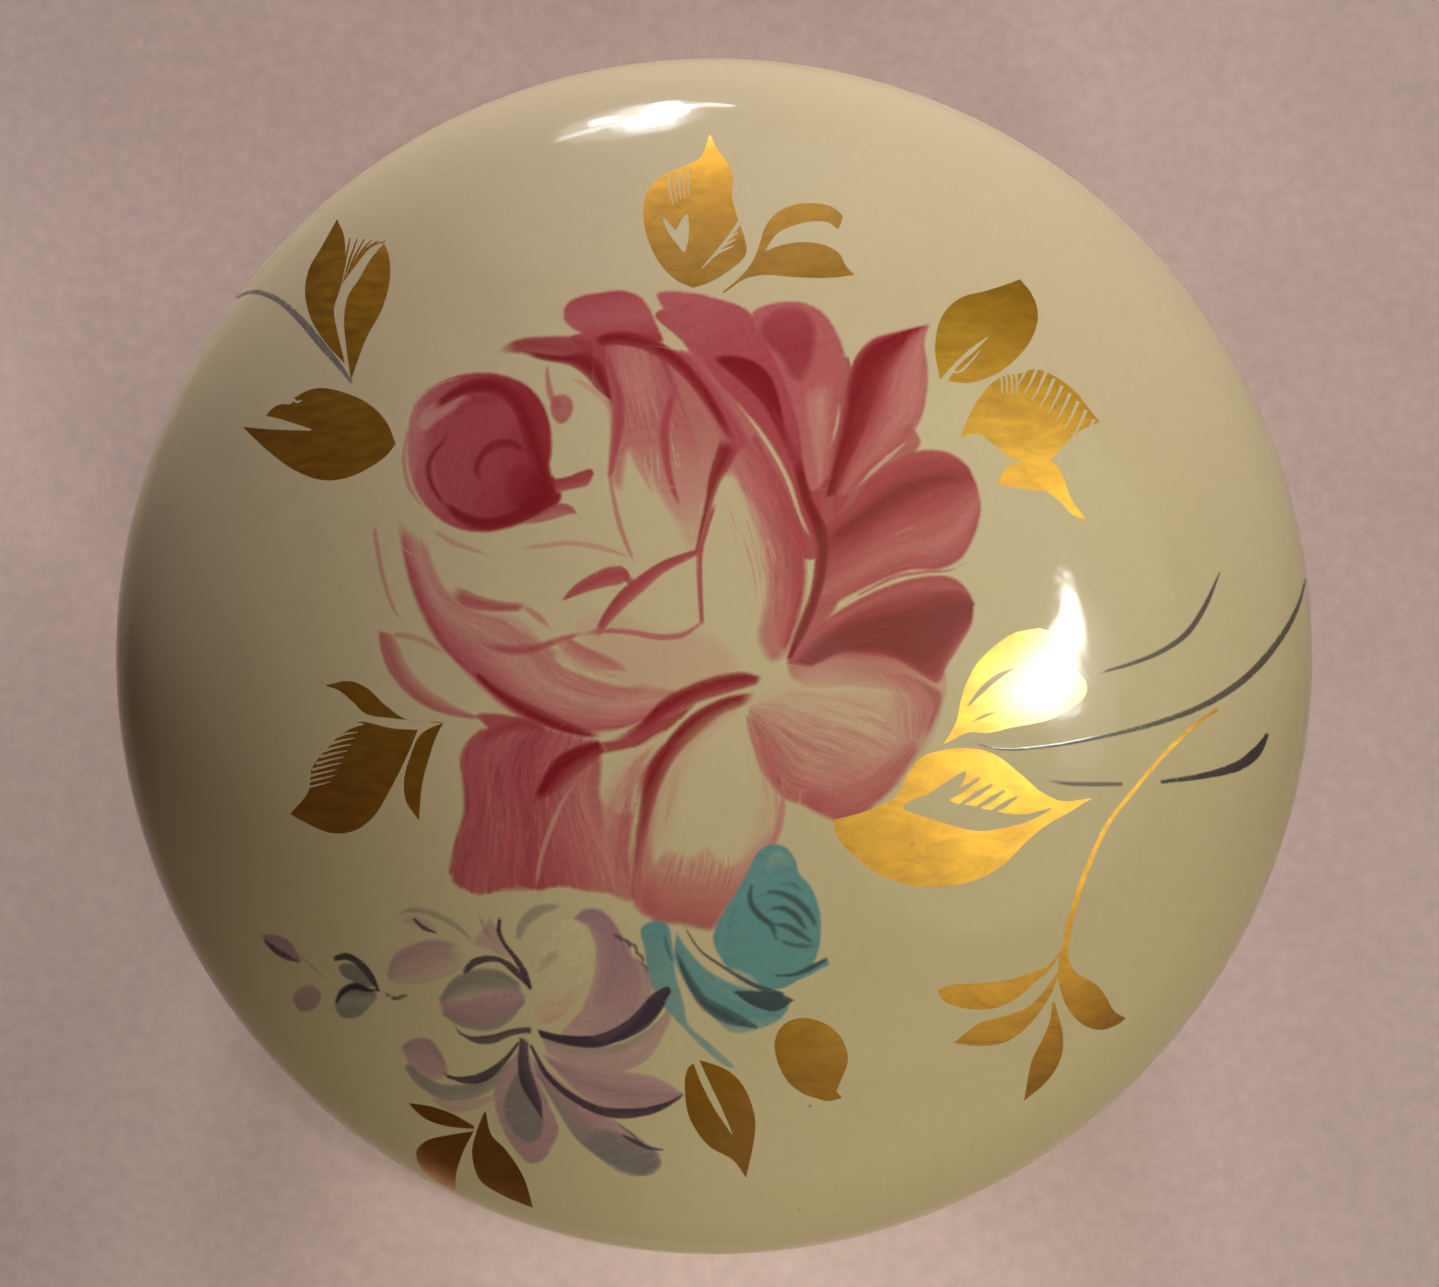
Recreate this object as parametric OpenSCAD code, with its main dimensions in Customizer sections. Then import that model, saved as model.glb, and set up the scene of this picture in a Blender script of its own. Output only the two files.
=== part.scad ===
// Round porcelain powder jar: bowl, lift-off domed lid, loose powder and a ribbon-topped puff.
// Millimetres, +Z up, origin at the centre of the foot ring's resting plane.

/* [Lid] */
// Radius of the lid at its widest
lid_r = 50; // [48.5:0.5:58]
// Height of the dome above the widest line
dome_h = 16.5; // [12:0.5:22]
// Height of the rolled edge below the widest line
edge_h = 5; // [4.4:0.2:7]
// How far the rolled edge turns in
edge_in = 3.4; // [2.4:0.2:4.4]
// Wall thickness of the lid
lid_wall = 3.4; // [3:0.1:4.2]
// Depth of the locating flange below the seat
flange_depth = 5; // [3:0.5:6]
// Thickness of the locating flange
flange_wall = 3; // [2.4:0.1:3.4]
// Radial clearance of the flange in the mouth
flange_gap = 0.8; // [0.5:0.1:1.2]

/* [Jar] */
// Height of the jar's rim above the table
seat_z = 42; // [40:0.5:50]
// Radius of the mouth
mouth_r = 42; // [41.5:0.1:42.4]
// Outer radius at the belly
belly_r = 46.5; // [46.2:0.1:48]
// Height of the belly
belly_z = 26; // [24:0.5:28]
// Outer radius just under the rim
rim_r = 45.2; // [45:0.1:45.6]
// Wall thickness of the jar
jar_wall = 3.4; // [3:0.1:3.6]
// Outer radius of the foot ring
foot_r = 29.4; // [27:0.1:30]
// Height of the recess inside the foot ring
foot_h = 3.2; // [2.4:0.1:4]

/* [Powder] */
// Level of the powder at the wall
powder_z = 20; // [18.6:0.1:20.2]
// Depth of the dish that the puff presses in it
dish = 1.2; // [0.9:0.1:2.4]

/* [Puff] */
// Radius of the puff without its piping
puff_r = 33; // [30:0.5:35]
// Height of the puff's seam
puff_z = 25.6; // [25.6:0.1:26.6]
// Depth of the velour face below the seam
face_h = 6.5; // [5.5:0.1:6.5]
// Height of the satin back above the seam
back_h = 5; // [4:0.1:5.2]
// Radius of the piping's cord
piping_r = 1.1; // [0.8:0.1:1.3]
// Width of the finger ribbon
ribbon_w = 16; // [10:1:18]
// Rise of the ribbon's arch above the seam
ribbon_h = 11; // [10.8:0.1:12]
// Thickness of the ribbon
ribbon_t = 0.6; // [0.5:0.1:0.8]

/* [Quality] */
// Segments round the jar and the lid
segments = 160; // [96:16:240]

/* [Hidden] */
wide_z = seat_z + edge_h;             // height of the lid's widest line
flange_r = mouth_r - flange_gap;      // outer radius of the locating flange
flange_in = flange_r - flange_wall;   // inner radius of the locating flange
floor_z = foot_h + jar_wall;          // inside floor of the jar
body_cx = foot_r - 0.9;               // centre of the bowl's lower curve
in_cx = body_cx - 3;                  // centre of the bowl's inner curve
soft_gap = 0.25;                      // gap between the puff's layers

// Points of an elliptical arc in the r-z plane
function arc(cx, cz, a, b, t0, t1, n) =
    [for (i = [0:n]) let (t = t0 + (t1 - t0) * i / n) [cx + a * cos(t), cz + b * sin(t)]];

// The bowl, turned as one shape: foot ring, belly, rim and cavity
module jar_body() {
    in_belly = belly_r - jar_wall;
    outer = concat(
        [[foot_r - 1, 0], [foot_r - 0.35, 0.3], [foot_r - 0.05, 0.9], [foot_r + 0.05, foot_h - 0.6]],
        arc(body_cx, belly_z, belly_r - body_cx, belly_z - foot_h, -84, 0, 20),
        arc(rim_r, belly_z, belly_r - rim_r, seat_z - 0.9 - belly_z, 8, 85, 9),
        arc(rim_r - 0.9, seat_z - 0.9, 0.9, 0.9, 0, 90, 5));
    inner = concat(
        arc(mouth_r + 0.7, seat_z - 0.7, 0.7, 0.7, 90, 180, 5),
        [[mouth_r, seat_z - 7]],
        arc(mouth_r, belly_z, in_belly - mouth_r, seat_z - 8 - belly_z, 86, 0, 10),
        arc(in_cx, belly_z, in_belly - in_cx, belly_z - floor_z, -5, -90, 18));
    under = [[0, floor_z], [0, foot_h], [foot_r - 5, foot_h], [foot_r - 4.3, foot_h - 0.5],
             [foot_r - 4, 0.9], [foot_r - 3.7, 0.3], [foot_r - 3.1, 0]];
    color("#d8cfae") rotate_extrude($fn = segments) polygon(concat(outer, inner, under));
}

// The domed lid: dome, rolled edge, seat and locating flange
module lid() {
    outer = concat(
        arc(0, wide_z, lid_r, dome_h, 90, 0, 40),
        arc(lid_r - edge_in, wide_z, edge_in, edge_h, -9, -90, 10));
    flange = [[flange_r + 0.2, seat_z], [flange_r, seat_z - 0.3],
              [flange_r, seat_z - flange_depth + 0.9], [flange_r - 0.4, seat_z - flange_depth + 0.2],
              [flange_r - 1, seat_z - flange_depth], [flange_in + 1, seat_z - flange_depth],
              [flange_in + 0.4, seat_z - flange_depth + 0.2], [flange_in, seat_z - flange_depth + 0.9],
              [flange_in, seat_z + 1.6], [flange_in + 0.5, seat_z + 2.7], [flange_in + 1.6, seat_z + 3.2]];
    in_r = lid_r - lid_wall - 0.8;
    inner = concat(
        arc(in_r - 2.4, wide_z, 2.4, edge_h - 3.2, -90, -10, 6),
        arc(0, wide_z, in_r, dome_h - lid_wall, 0, 90, 30));
    color("#ddd3b0") rotate_extrude($fn = segments) polygon(concat(outer, flange, inner));
}

// Loose powder in the bowl, dished where the puff lies
module powder() {
    in_belly = belly_r - jar_wall - 0.15;
    cx = in_cx - 0.15;
    // angle on the bowl's inner curve at the powder's level
    top_t = asin((powder_z - belly_z) / (belly_z - floor_z));
    wall = arc(cx, belly_z, in_belly - cx, belly_z - floor_z - 0.15, -86, top_t, 14);
    last = wall[14];
    top = [for (i = [0:10]) let (r = 26 * (1 - i / 10)) [r, powder_z - dish * (1 - pow(r / 26, 2))]];
    color("#ead2bf") rotate_extrude($fn = 96)
        polygon(concat([[0, floor_z], [in_cx - 3, floor_z]], wall,
                       [[last[0] - 1.4, powder_z - 0.15], [last[0] - 5, powder_z]], top));
}

// Half of a soft lens, from its seam plane up (dir 1) or down (dir -1)
module half_lens(r, h, dir, r_in, h_in) {
    out = arc(0, puff_z, r, dir * h, 0, 90, 18);
    hollow = r_in > 0 ? arc(0, puff_z, r_in, dir * h_in, 90, 0, 18) : [[0, puff_z]];
    rotate_extrude($fn = 72) polygon(concat(out, hollow));
}

// Padding inside the puff
module puff_core() {
    r = puff_r - 1.4 - soft_gap;
    color("#efe6da") rotate_extrude($fn = 72)
        polygon(concat(arc(0, puff_z, r, face_h - 1.3 - soft_gap, -90, 0, 14),
                       [for (i = [1:14]) let (t = 90 * i / 14)
                           [r * cos(t), puff_z + (back_h - 1 - soft_gap) * sin(t)]]));
}

// Velour face, the side that picks up the powder
module puff_face() { color("#e6c3bd") half_lens(puff_r, face_h, -1, puff_r - 1.4, face_h - 1.3); }

// Satin back
module puff_back() { color("#e9d2c4") half_lens(puff_r, back_h, 1, puff_r - 1.4, back_h - 1); }

// Corded piping round the seam
module puff_piping() {
    color("#dcb9a8") rotate_extrude($fn = 96)
        translate([puff_r + piping_r + 0.1, puff_z]) circle(r = piping_r, $fn = 20);
}

// Satin ribbon that arches over the back as a finger loop
module puff_ribbon() {
    a = puff_r + 0.2;
    t0 = asin(1.45 / ribbon_h);
    color("#e3c0b0") rotate([90, 0, 0]) translate([0, 0, -ribbon_w / 2])
        linear_extrude(height = ribbon_w)
            polygon(concat(arc(0, puff_z, a, ribbon_h + ribbon_t, t0, 180 - t0, 36),
                           arc(0, puff_z, a - ribbon_t, ribbon_h, 180 - t0, t0, 36)));
}

jar_body();
lid();
powder();
puff_core();
puff_face();
puff_back();
puff_piping();
puff_ribbon();
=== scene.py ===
"""Looks for the powder jar: painted porcelain lid, glazed bowl, loose powder and a sewn puff."""
import math

import bpy
import bmesh
import numpy as np
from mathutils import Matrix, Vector
from mathutils.geometry import delaunay_2d_cdt


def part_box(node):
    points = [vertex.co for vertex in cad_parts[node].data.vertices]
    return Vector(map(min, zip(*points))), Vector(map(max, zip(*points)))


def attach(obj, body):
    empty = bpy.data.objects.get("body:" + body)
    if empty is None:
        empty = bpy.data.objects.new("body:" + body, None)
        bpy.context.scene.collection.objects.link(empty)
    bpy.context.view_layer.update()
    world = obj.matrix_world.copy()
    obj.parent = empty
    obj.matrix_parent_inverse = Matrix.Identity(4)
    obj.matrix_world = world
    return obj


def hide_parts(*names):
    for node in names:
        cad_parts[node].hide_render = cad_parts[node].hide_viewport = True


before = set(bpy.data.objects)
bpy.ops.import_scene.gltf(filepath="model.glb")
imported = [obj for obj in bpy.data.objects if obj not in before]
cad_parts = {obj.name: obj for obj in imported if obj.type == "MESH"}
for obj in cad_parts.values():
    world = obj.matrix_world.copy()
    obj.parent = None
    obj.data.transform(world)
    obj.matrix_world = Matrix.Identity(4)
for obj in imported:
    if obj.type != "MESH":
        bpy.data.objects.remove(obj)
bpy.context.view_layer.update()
MM = 0.001

# ---------------------------------------------------------------- sizes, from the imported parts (mm)
lid_lo, lid_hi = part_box("lid")
jar_lo, jar_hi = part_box("jar_body")
pow_lo, pow_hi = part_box("powder")
face_lo, face_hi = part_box("puff_face")
back_lo, back_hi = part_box("puff_back")
pipe_lo, pipe_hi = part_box("puff_piping")
rib_lo, rib_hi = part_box("puff_ribbon")
LID_R = lid_hi.x * 1000                       # 50
SEAT_Z = jar_hi.z * 1000                      # 42
EDGE_H = 5.0
EDGE_IN = 3.4
WIDE_Z = SEAT_Z + EDGE_H                      # 47
DOME_H = lid_hi.z * 1000 - WIDE_Z             # 16.5
LID_WALL = 3.4
FLANGE_R = 41.2
FLANGE_IN = 38.2
FLANGE_D = SEAT_Z - lid_lo.z * 1000           # 5

CAM_D = 450.0                                 # camera's height over the lid's widest line
CAM_X, CAM_Y = 0.46, 1.05                     # camera's axis, beside the lid's axis

scene = bpy.context.scene
scene.view_settings.view_transform = "Standard"
scene.view_settings.look = "None"
scene.view_settings.exposure = 0.0
scene.view_settings.gamma = 1.0


def lin(rgb):
    """sRGB 0-255 to linear."""
    out = []
    for c in rgb:
        c = c / 255.0
        out.append(c / 12.92 if c <= 0.04045 else ((c + 0.055) / 1.055) ** 2.4)
    return tuple(out)


def smooth(x, a, b):
    if a == b:
        return (np.asarray(x) >= a).astype(float)
    t = np.clip((np.asarray(x, float) - a) / (b - a), 0, 1)
    return t * t * (3 - 2 * t)


# ---------------------------------------------------------------- numpy value noise (same every run)
def _hash(ix, iy, iz, seed):
    h = (ix.astype(np.int64) * 374761393 + iy.astype(np.int64) * 668265263
         + iz.astype(np.int64) * 2147483647 + seed * 1274126177) & 0xFFFFFFFF
    h = ((h ^ (h >> 13)) * 1274126177) & 0xFFFFFFFF
    h = h ^ (h >> 16)
    return (h & 0xFFFFFF) / float(0xFFFFFF)


def vnoise(p, scale=1.0, seed=0):
    """Value noise in 0..1 at points p (n, 3)."""
    p = np.asarray(p, float) * scale
    i = np.floor(p).astype(np.int64)
    f = p - i
    f = f * f * (3 - 2 * f)
    out = 0
    for dx in (0, 1):
        for dy in (0, 1):
            for dz in (0, 1):
                w = ((f[:, 0] if dx else 1 - f[:, 0]) * (f[:, 1] if dy else 1 - f[:, 1])
                     * (f[:, 2] if dz else 1 - f[:, 2]))
                out = out + w * _hash(i[:, 0] + dx, i[:, 1] + dy, i[:, 2] + dz, seed)
    return out


def fbm(p, scale=1.0, seed=0, octaves=4):
    out, amp, tot = 0, 1.0, 0
    for o in range(octaves):
        out = out + amp * vnoise(p, scale * 2 ** o, seed + 17 * o)
        tot += amp
        amp *= 0.5
    return out / tot


# ---------------------------------------------------------------- mesh helpers
def new_mesh(name, verts, faces, smooth_shade=True):
    me = bpy.data.meshes.new(name)
    me.from_pydata([tuple(v) for v in verts], [], [tuple(f) for f in faces])
    me.validate()
    me.update()
    ob = bpy.data.objects.new(name, me)
    scene.collection.objects.link(ob)
    if smooth_shade:
        me.polygons.foreach_set("use_smooth", [True] * len(me.polygons))
    return ob


def arc(cx, cz, a, b, t0, t1, n):
    return [(cx + a * math.cos(math.radians(t0 + (t1 - t0) * i / n)),
             cz + b * math.sin(math.radians(t0 + (t1 - t0) * i / n))) for i in range(n + 1)]


def resample(points, step, closed=False):
    """Points about step apart along the polyline, with corners kept."""
    pts = [np.array(p, float) for p in points]
    out = []
    rng = range(len(pts) if closed else len(pts) - 1)
    for i in rng:
        a, b = pts[i], pts[(i + 1) % len(pts)]
        n = max(1, int(math.ceil(np.linalg.norm(b - a) / step)))
        for k in range(n):
            out.append(a + (b - a) * k / n)
    if not closed:
        out.append(pts[-1])
    return out


def node_tree(name):
    m = bpy.data.materials.new(name)
    m.use_nodes = True
    nt = m.node_tree
    nt.nodes.clear()
    out = nt.nodes.new("ShaderNodeOutputMaterial")
    bs = nt.nodes.new("ShaderNodeBsdfPrincipled")
    nt.links.new(bs.outputs[0], out.inputs[0])
    return m, nt, bs


class N:
    """Short forms for building node graphs."""

    def __init__(self, nt):
        self.nt = nt

    def node(self, kind, **props):
        n = self.nt.nodes.new(kind)
        for k, v in props.items():
            setattr(n, k, v)
        return n

    def link(self, a, b):
        self.nt.links.new(a, b)

    def put(self, sock, v):
        if hasattr(v, "links") or hasattr(v, "is_output"):
            self.nt.links.new(v, sock)
        else:
            sock.default_value = v

    def math(self, op, a, b=None, clamp=False):
        n = self.node("ShaderNodeMath", operation=op, use_clamp=clamp)
        self.put(n.inputs[0], a)
        if b is not None:
            self.put(n.inputs[1], b)
        return n.outputs[0]

    def mix(self, f, a, b):
        n = self.node("ShaderNodeMix", data_type="RGBA", blend_type="MIX")
        n.clamp_factor = True
        self.put(n.inputs[0], f)
        for s, v in ((n.inputs[6], a), (n.inputs[7], b)):
            self.put(s, (*v, 1.0) if isinstance(v, tuple) and len(v) == 3 else v)
        return n.outputs[2]

    def mul_col(self, a, f):
        """Colour a times scalar f."""
        n = self.node("ShaderNodeMix", data_type="RGBA", blend_type="MULTIPLY")
        n.inputs[0].default_value = 1.0
        self.put(n.inputs[6], a)
        c = self.node("ShaderNodeCombineColor")
        for i in range(3):
            self.put(c.inputs[i], f)
        self.link(c.outputs[0], n.inputs[7])
        return n.outputs[2]

    def noise(self, vec, scale, detail=3.0, rough=0.5, dist=0.0):
        n = self.node("ShaderNodeTexNoise")
        self.link(vec, n.inputs["Vector"])
        n.inputs["Scale"].default_value = scale
        n.inputs["Detail"].default_value = detail
        n.inputs["Roughness"].default_value = rough
        n.inputs["Distortion"].default_value = dist
        return n.outputs["Fac"]

    def ramp(self, f, stops, interp="LINEAR"):
        n = self.node("ShaderNodeValToRGB")
        n.color_ramp.interpolation = interp
        el = n.color_ramp.elements
        while len(el) < len(stops):
            el.new(0.5)
        for e, (p, c) in zip(el, stops):
            e.position = p
            e.color = (*c, 1.0) if len(c) == 3 else c
        self.link(f, n.inputs[0])
        return n.outputs[0]

    def range(self, f, a, b, c, d):
        n = self.node("ShaderNodeMapRange")
        self.put(n.inputs[0], f)
        for i, v in zip((1, 2, 3, 4), (a, b, c, d)):
            n.inputs[i].default_value = v
        return n.outputs[0]

    def coord(self):
        return self.node("ShaderNodeTexCoord").outputs["Object"]

    def scaled(self, vec, s):
        n = self.node("ShaderNodeVectorMath", operation="MULTIPLY")
        self.link(vec, n.inputs[0])
        n.inputs[1].default_value = s
        return n.outputs[0]

    def bump(self, height, strength, distance, normal=None):
        n = self.node("ShaderNodeBump")
        n.inputs["Strength"].default_value = strength
        n.inputs["Distance"].default_value = distance
        self.link(height, n.inputs["Height"])
        if normal is not None:
            self.link(normal, n.inputs["Normal"])
        return n.outputs[0]


# ---------------------------------------------------------------- camera
cam_data = bpy.data.cameras.new("camera")
cam = bpy.data.objects.new("camera", cam_data)
scene.collection.objects.link(cam)
cam.location = (CAM_X * MM, CAM_Y * MM, (WIDE_Z + CAM_D) * MM)
cam.rotation_euler = (0, 0, 0)
cam_data.sensor_width = 36.0
cam_data.lens = 36.0 * CAM_D / (1439 * 2 * LID_R / 1196.0)
cam_data.clip_start = 0.01
cam_data.clip_end = 20
scene.camera = cam

# ---------------------------------------------------------------- the painted design
# Design units: the lid is 1196 units across, its centre is (714, 656), and y grows downwards.
U = 2 * LID_R / 1196.0
GAIN = 1.45                                   # painted colours are stored for this much light
INK = {
    "D": (117, 26, 28), "C": (135, 42, 44), "M": (153, 65, 66), "R": (162, 84, 79),
    "P": (172, 108, 94), "L": (178, 132, 108), "T": (86, 128, 119), "t": (122, 142, 122),
    "N": (50, 62, 62), "V": (142, 108, 106), "v": (160, 128, 114), "G": (110, 104, 92),
    "K": (60, 46, 54), "S": (76, 66, 58), "B": (44, 40, 44), "W": (180, 165, 120), "g": (128, 122, 102),
}
INK = {k: np.array(lin(v)) * GAIN for k, v in INK.items()}
STROKES = []


def spline(points, closed=False, step=3.6):
    """Catmull-Rom through the points, resampled about step apart."""
    P = [np.array(p, float) for p in points]
    n = len(P)
    if n == 2 and not closed:
        return np.array(resample(P, step))
    out = []
    segs = n if closed else n - 1
    for i in range(segs):
        if closed:
            p0, p1, p2, p3 = P[(i - 1) % n], P[i], P[(i + 1) % n], P[(i + 2) % n]
        else:
            p1, p2 = P[i], P[i + 1]
            p0 = P[i - 1] if i else 2 * p1 - p2
            p3 = P[i + 2] if i + 2 < n else 2 * p2 - p1
        d = np.linalg.norm(p2 - p1)
        if d < 1e-6:
            continue
        a0 = max(np.linalg.norm(p1 - p0), 1e-3) ** 0.5
        a1 = max(d, 1e-3) ** 0.5
        a2 = max(np.linalg.norm(p3 - p2), 1e-3) ** 0.5
        m1 = (p2 - p1) + a1 * ((p1 - p0) / a0 - (p2 - p0) / (a0 + a1))
        m2 = (p2 - p1) + a1 * ((p3 - p2) / a2 - (p3 - p1) / (a1 + a2))
        k = max(1, int(round(d / step)))
        for j in range(k):
            t = j / k
            out.append((2 * t ** 3 - 3 * t ** 2 + 1) * p1 + (t ** 3 - 2 * t ** 2 + t) * m1
                       + (-2 * t ** 3 + 3 * t ** 2) * p2 + (t ** 3 - t ** 2) * m2)
    if not closed:
        out.append(P[-1])
    return np.array(out)


def along(curve, n):
    """n points evenly along a sampled curve."""
    d = np.r_[0, np.cumsum(np.linalg.norm(np.diff(curve, axis=0), axis=1))]
    t = np.linspace(0, d[-1], n)
    return np.c_[np.interp(t, d, curve[:, 0]), np.interp(t, d, curve[:, 1])]


def _ramp(ramp):
    if isinstance(ramp, str):
        ramp = [(0, ramp, 1.0)]
    v = np.array([r[0] for r in ramp], float)
    c = np.array([INK[r[1]] for r in ramp])
    a = np.array([r[2] for r in ramp], float)
    return v, c, a


def _add(kind, outline, grid, ramp, e, f, s, a=1.0):
    STROKES.append(dict(kind=kind, outline=outline, grid=grid, ramp=_ramp(ramp), e=e, f=f, s=s, a=a))


def rb(left, right, ramp, e=3.0, f=(0, 0), s=0.5, cap=None, base=None, kind="paint", a=1.0):
    """A brush mark between two rails, u from base to tip, v from left to right."""
    Lc, Rc = spline(left), spline(right)
    parts = [Lc]
    if cap:
        c = spline([left[-1]] + list(cap) + [right[-1]])
        parts.append(c[1:-1])
    parts.append(Rc[::-1])
    if base:
        c = spline([right[0]] + list(base) + [left[0]])
        parts.append(c[1:-1])
    out = np.vstack(parts)
    keep = np.r_[True, np.linalg.norm(np.diff(out, axis=0), axis=1) > 0.3]
    out = out[keep]
    if np.linalg.norm(out[0] - out[-1]) < 0.3:
        out = out[:-1]
    n = 48
    A, B = along(Lc, n), along(Rc, n)
    w = np.linspace(0, 1, 13)[None, :, None]
    _add(kind, out, A[:, None] * (1 - w) + B[:, None] * w, ramp, e, f, s, a)


def ln(pts, w, ramp, e=1.6, f=(0, 0), s=0.3, kind="paint", a=1.0):
    """A single stroke along a spine; w lists its widths along it."""
    C = spline(pts, step=2.5 if max(w) < 8 else 3.6)
    T = np.gradient(C, axis=0)
    T /= np.maximum(np.linalg.norm(T, axis=1), 1e-9)[:, None]
    Nn = np.c_[T[:, 1], -T[:, 0]]
    d = np.r_[0, np.cumsum(np.linalg.norm(np.diff(C, axis=0), axis=1))]
    h = np.interp(d / d[-1], np.linspace(0, 1, len(w)), w) / 2
    A, B = C + Nn * h[:, None], C - Nn * h[:, None]
    out = np.vstack([A, B[::-1]])
    keep = np.r_[True, np.linalg.norm(np.diff(out, axis=0), axis=1) > 0.3]
    out = out[keep]
    if np.linalg.norm(out[0] - out[-1]) < 0.3:
        out = out[:-1]
    v = np.linspace(0, 1, 7)[None, :, None]
    _add(kind, out, A[:, None] * (1 - v) + B[:, None] * v, ramp, e, f, s, a)


def bl(outline, ramp, d=(0, 1), e=3.0, s=0.4, kind="paint", a=1.0, f=(0, 0)):
    """A filled shape; v runs from 0 to 1 across it in direction d."""
    out = spline(outline, closed=True)
    d = np.array(d, float)
    d /= np.linalg.norm(d)
    q = np.array([d[1], -d[0]])
    v, u = out @ d, out @ q
    uu, vv = np.meshgrid(np.linspace(u.min(), u.max(), 24), np.linspace(v.min(), v.max(), 24), indexing="ij")
    grid = uu[..., None] * q + vv[..., None] * d
    _add(kind, out, grid, ramp, e, f, s, a)


def hairs(left, right, n, w, col, a=0.5, u0=(0.0, 0.3), u1=(0.6, 1.0), v0=0.08, v1=0.92, seed=1, e=1.2):
    """Fine bristle marks that follow two rails."""
    rnd = np.random.RandomState(seed)
    A, B = along(spline(left), 40), along(spline(right), 40)
    for i in range(n):
        v = v0 + (v1 - v0) * (i + 0.5 + rnd.uniform(-0.35, 0.35)) / n
        a0, a1 = rnd.uniform(*u0), rnd.uniform(*u1)
        k = np.linspace(a0, a1, 9) * 39
        i0 = np.clip(k.astype(int), 0, 38)
        t = (k - i0)[:, None]
        vv = np.clip(v + rnd.uniform(-0.03, 0.03) * np.linspace(-1, 1, 9), 0.02, 0.98)[:, None]
        pa = A[i0] * (1 - t) + A[i0 + 1] * t
        pb = B[i0] * (1 - t) + B[i0 + 1] * t
        ln([tuple(p) for p in pa * (1 - vv) + pb * vv], (0.4, w * rnd.uniform(.7, 1.2), w * rnd.uniform(.6, 1.1), 0.4),
           [(0, col, a * rnd.uniform(.7, 1))], e=e, s=0.2)


def gold(left, right, **k):
    rb(left, right, "W", e=0, s=0, kind="gold", **k)


def gold_ln(pts, w):
    ln(pts, w, "W", e=0, s=0, kind="gold")


def bare(pts, w):
    """A gap in the gold that shows the glaze."""
    ln(pts, w, "W", e=0, s=0, kind="bare")


def bare_bl(outline):
    bl(outline, "W", e=0, s=0, kind="bare")



# ---- rose: soft washes under the strokes
bl([(590, 334), (640, 338), (690, 358), (730, 404), (754, 452), (744, 478), (722, 478), (708, 500), (700, 545), (690, 556), (676, 526), (660, 500), (644, 470),
    (630, 452), (622, 492), (612, 486), (610, 430), (600, 380)], [(0, "M", 0.85), (0.45, "R", 0.85), (0.75, "P", 0.75), (1, "P", 0.15)], (0, 1), e=7, s=0.35)
bl([(684, 340), (716, 350), (757, 372), (792, 420), (814, 470), (822, 520), (816, 548), (802, 520), (788, 478), (764, 436), (738, 404), (712, 372)], [(0, "M", 0.95), (1, "M", 1)], (0, 1), e=3, s=0.3)
bl([(804, 466), (830, 478), (850, 492), (838, 522), (830, 560), (840, 600), (828, 622), (802, 652), (788, 664), (806, 604), (814, 560), (808, 520)], [(0, "M", 0.95), (1, "R", 0.95)], (0, 1), e=4, s=0.3)
bl([(832, 500), (868, 452), (906, 424), (922, 442), (880, 482), (850, 514), (836, 520)], [(0, "R", 0.9), (1, "M", 0.9)], (0, 1), e=3, s=0.3)
bl([(738, 470), (770, 466), (800, 530), (808, 590), (792, 650), (772, 664), (756, 640), (764, 590), (756, 530)], [(0, "R", 0.8), (0.5, "P", 0.75), (1, "R", 0.8)], (0, 1), e=9, s=0.4)
bl([(398, 520), (420, 540), (440, 580), (474, 606), (540, 640), (590, 664), (650, 684), (694, 694), (690, 704), (650, 722), (600, 734), (556, 732), (510, 714), (458, 668), (420, 616)],
   [(0, "P", 0.75), (0.5, "R", 0.8), (1, "R", 0.85)], (1, 1), e=9, s=0.3)
bl([(476, 714), (520, 716), (560, 734), (610, 740), (650, 724), (696, 704), (652, 742), (606, 754), (560, 760), (520, 752)], [(0, "M", 0.95), (1, "C", 0.9)], (1, 0), e=3, s=0.3)
bl([(474, 738), (540, 732), (600, 750), (604, 800), (628, 812), (640, 770), (664, 742), (640, 800), (632, 850), (632, 902), (600, 892), (560, 888), (520, 892), (452, 884), (462, 830)],
   [(0, "M", 0.9), (0.4, "R", 0.9), (1, "R", 0.8)], (0, 1), e=5, s=0.4)
bl([(760, 700), (830, 690), (900, 690), (942, 690), (938, 730), (906, 776), (880, 804), (842, 822), (800, 806), (776, 770)], [(0, "L", 0.15), (0.5, "P", 0.35), (1, "P", 0.75)], (0.6, 1), e=9, s=0.3)
bl([(570, 336), (612, 336), (612, 404), (602, 380), (590, 358)], [(0, "M", 0.95), (1, "C", 0.9)], (0, 1), e=2, s=0.2)
bl([(574, 620), (610, 606), (660, 628), (704, 628), (742, 668), (700, 690), (640, 690), (590, 660)], [(0, "L", 0.35), (1, "P", 0.30)], (0, 1), e=12, s=0.2)
bl([(654, 315), (667, 307), (696, 336), (725, 385), (758, 430), (783, 472), (803, 523), (820, 556), (806, 560), (789, 527), (769, 480), (744, 439), (711, 393), (683, 344)],
   [(0, "M", 0.95), (0.5, "R", 0.9), (1, "M", 0.95)], (0, 1), e=2, s=0.2)
bl([(818, 488), (838, 420), (838, 360), (848, 356), (853, 400), (842, 450), (830, 486)], [(0, "C", 0.8), (1, "M", 0.9)], (0, 1), e=2, s=0.2)
bl([(788, 654), (812, 658), (848, 648), (896, 652), (944, 668), (944, 704), (900, 694), (850, 688), (812, 688), (790, 678)],
   [(0, "M", 0.95), (0.4, "R", 0.7), (1, "P", 0.15)], (0, 1), e=4, s=0.3)

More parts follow.
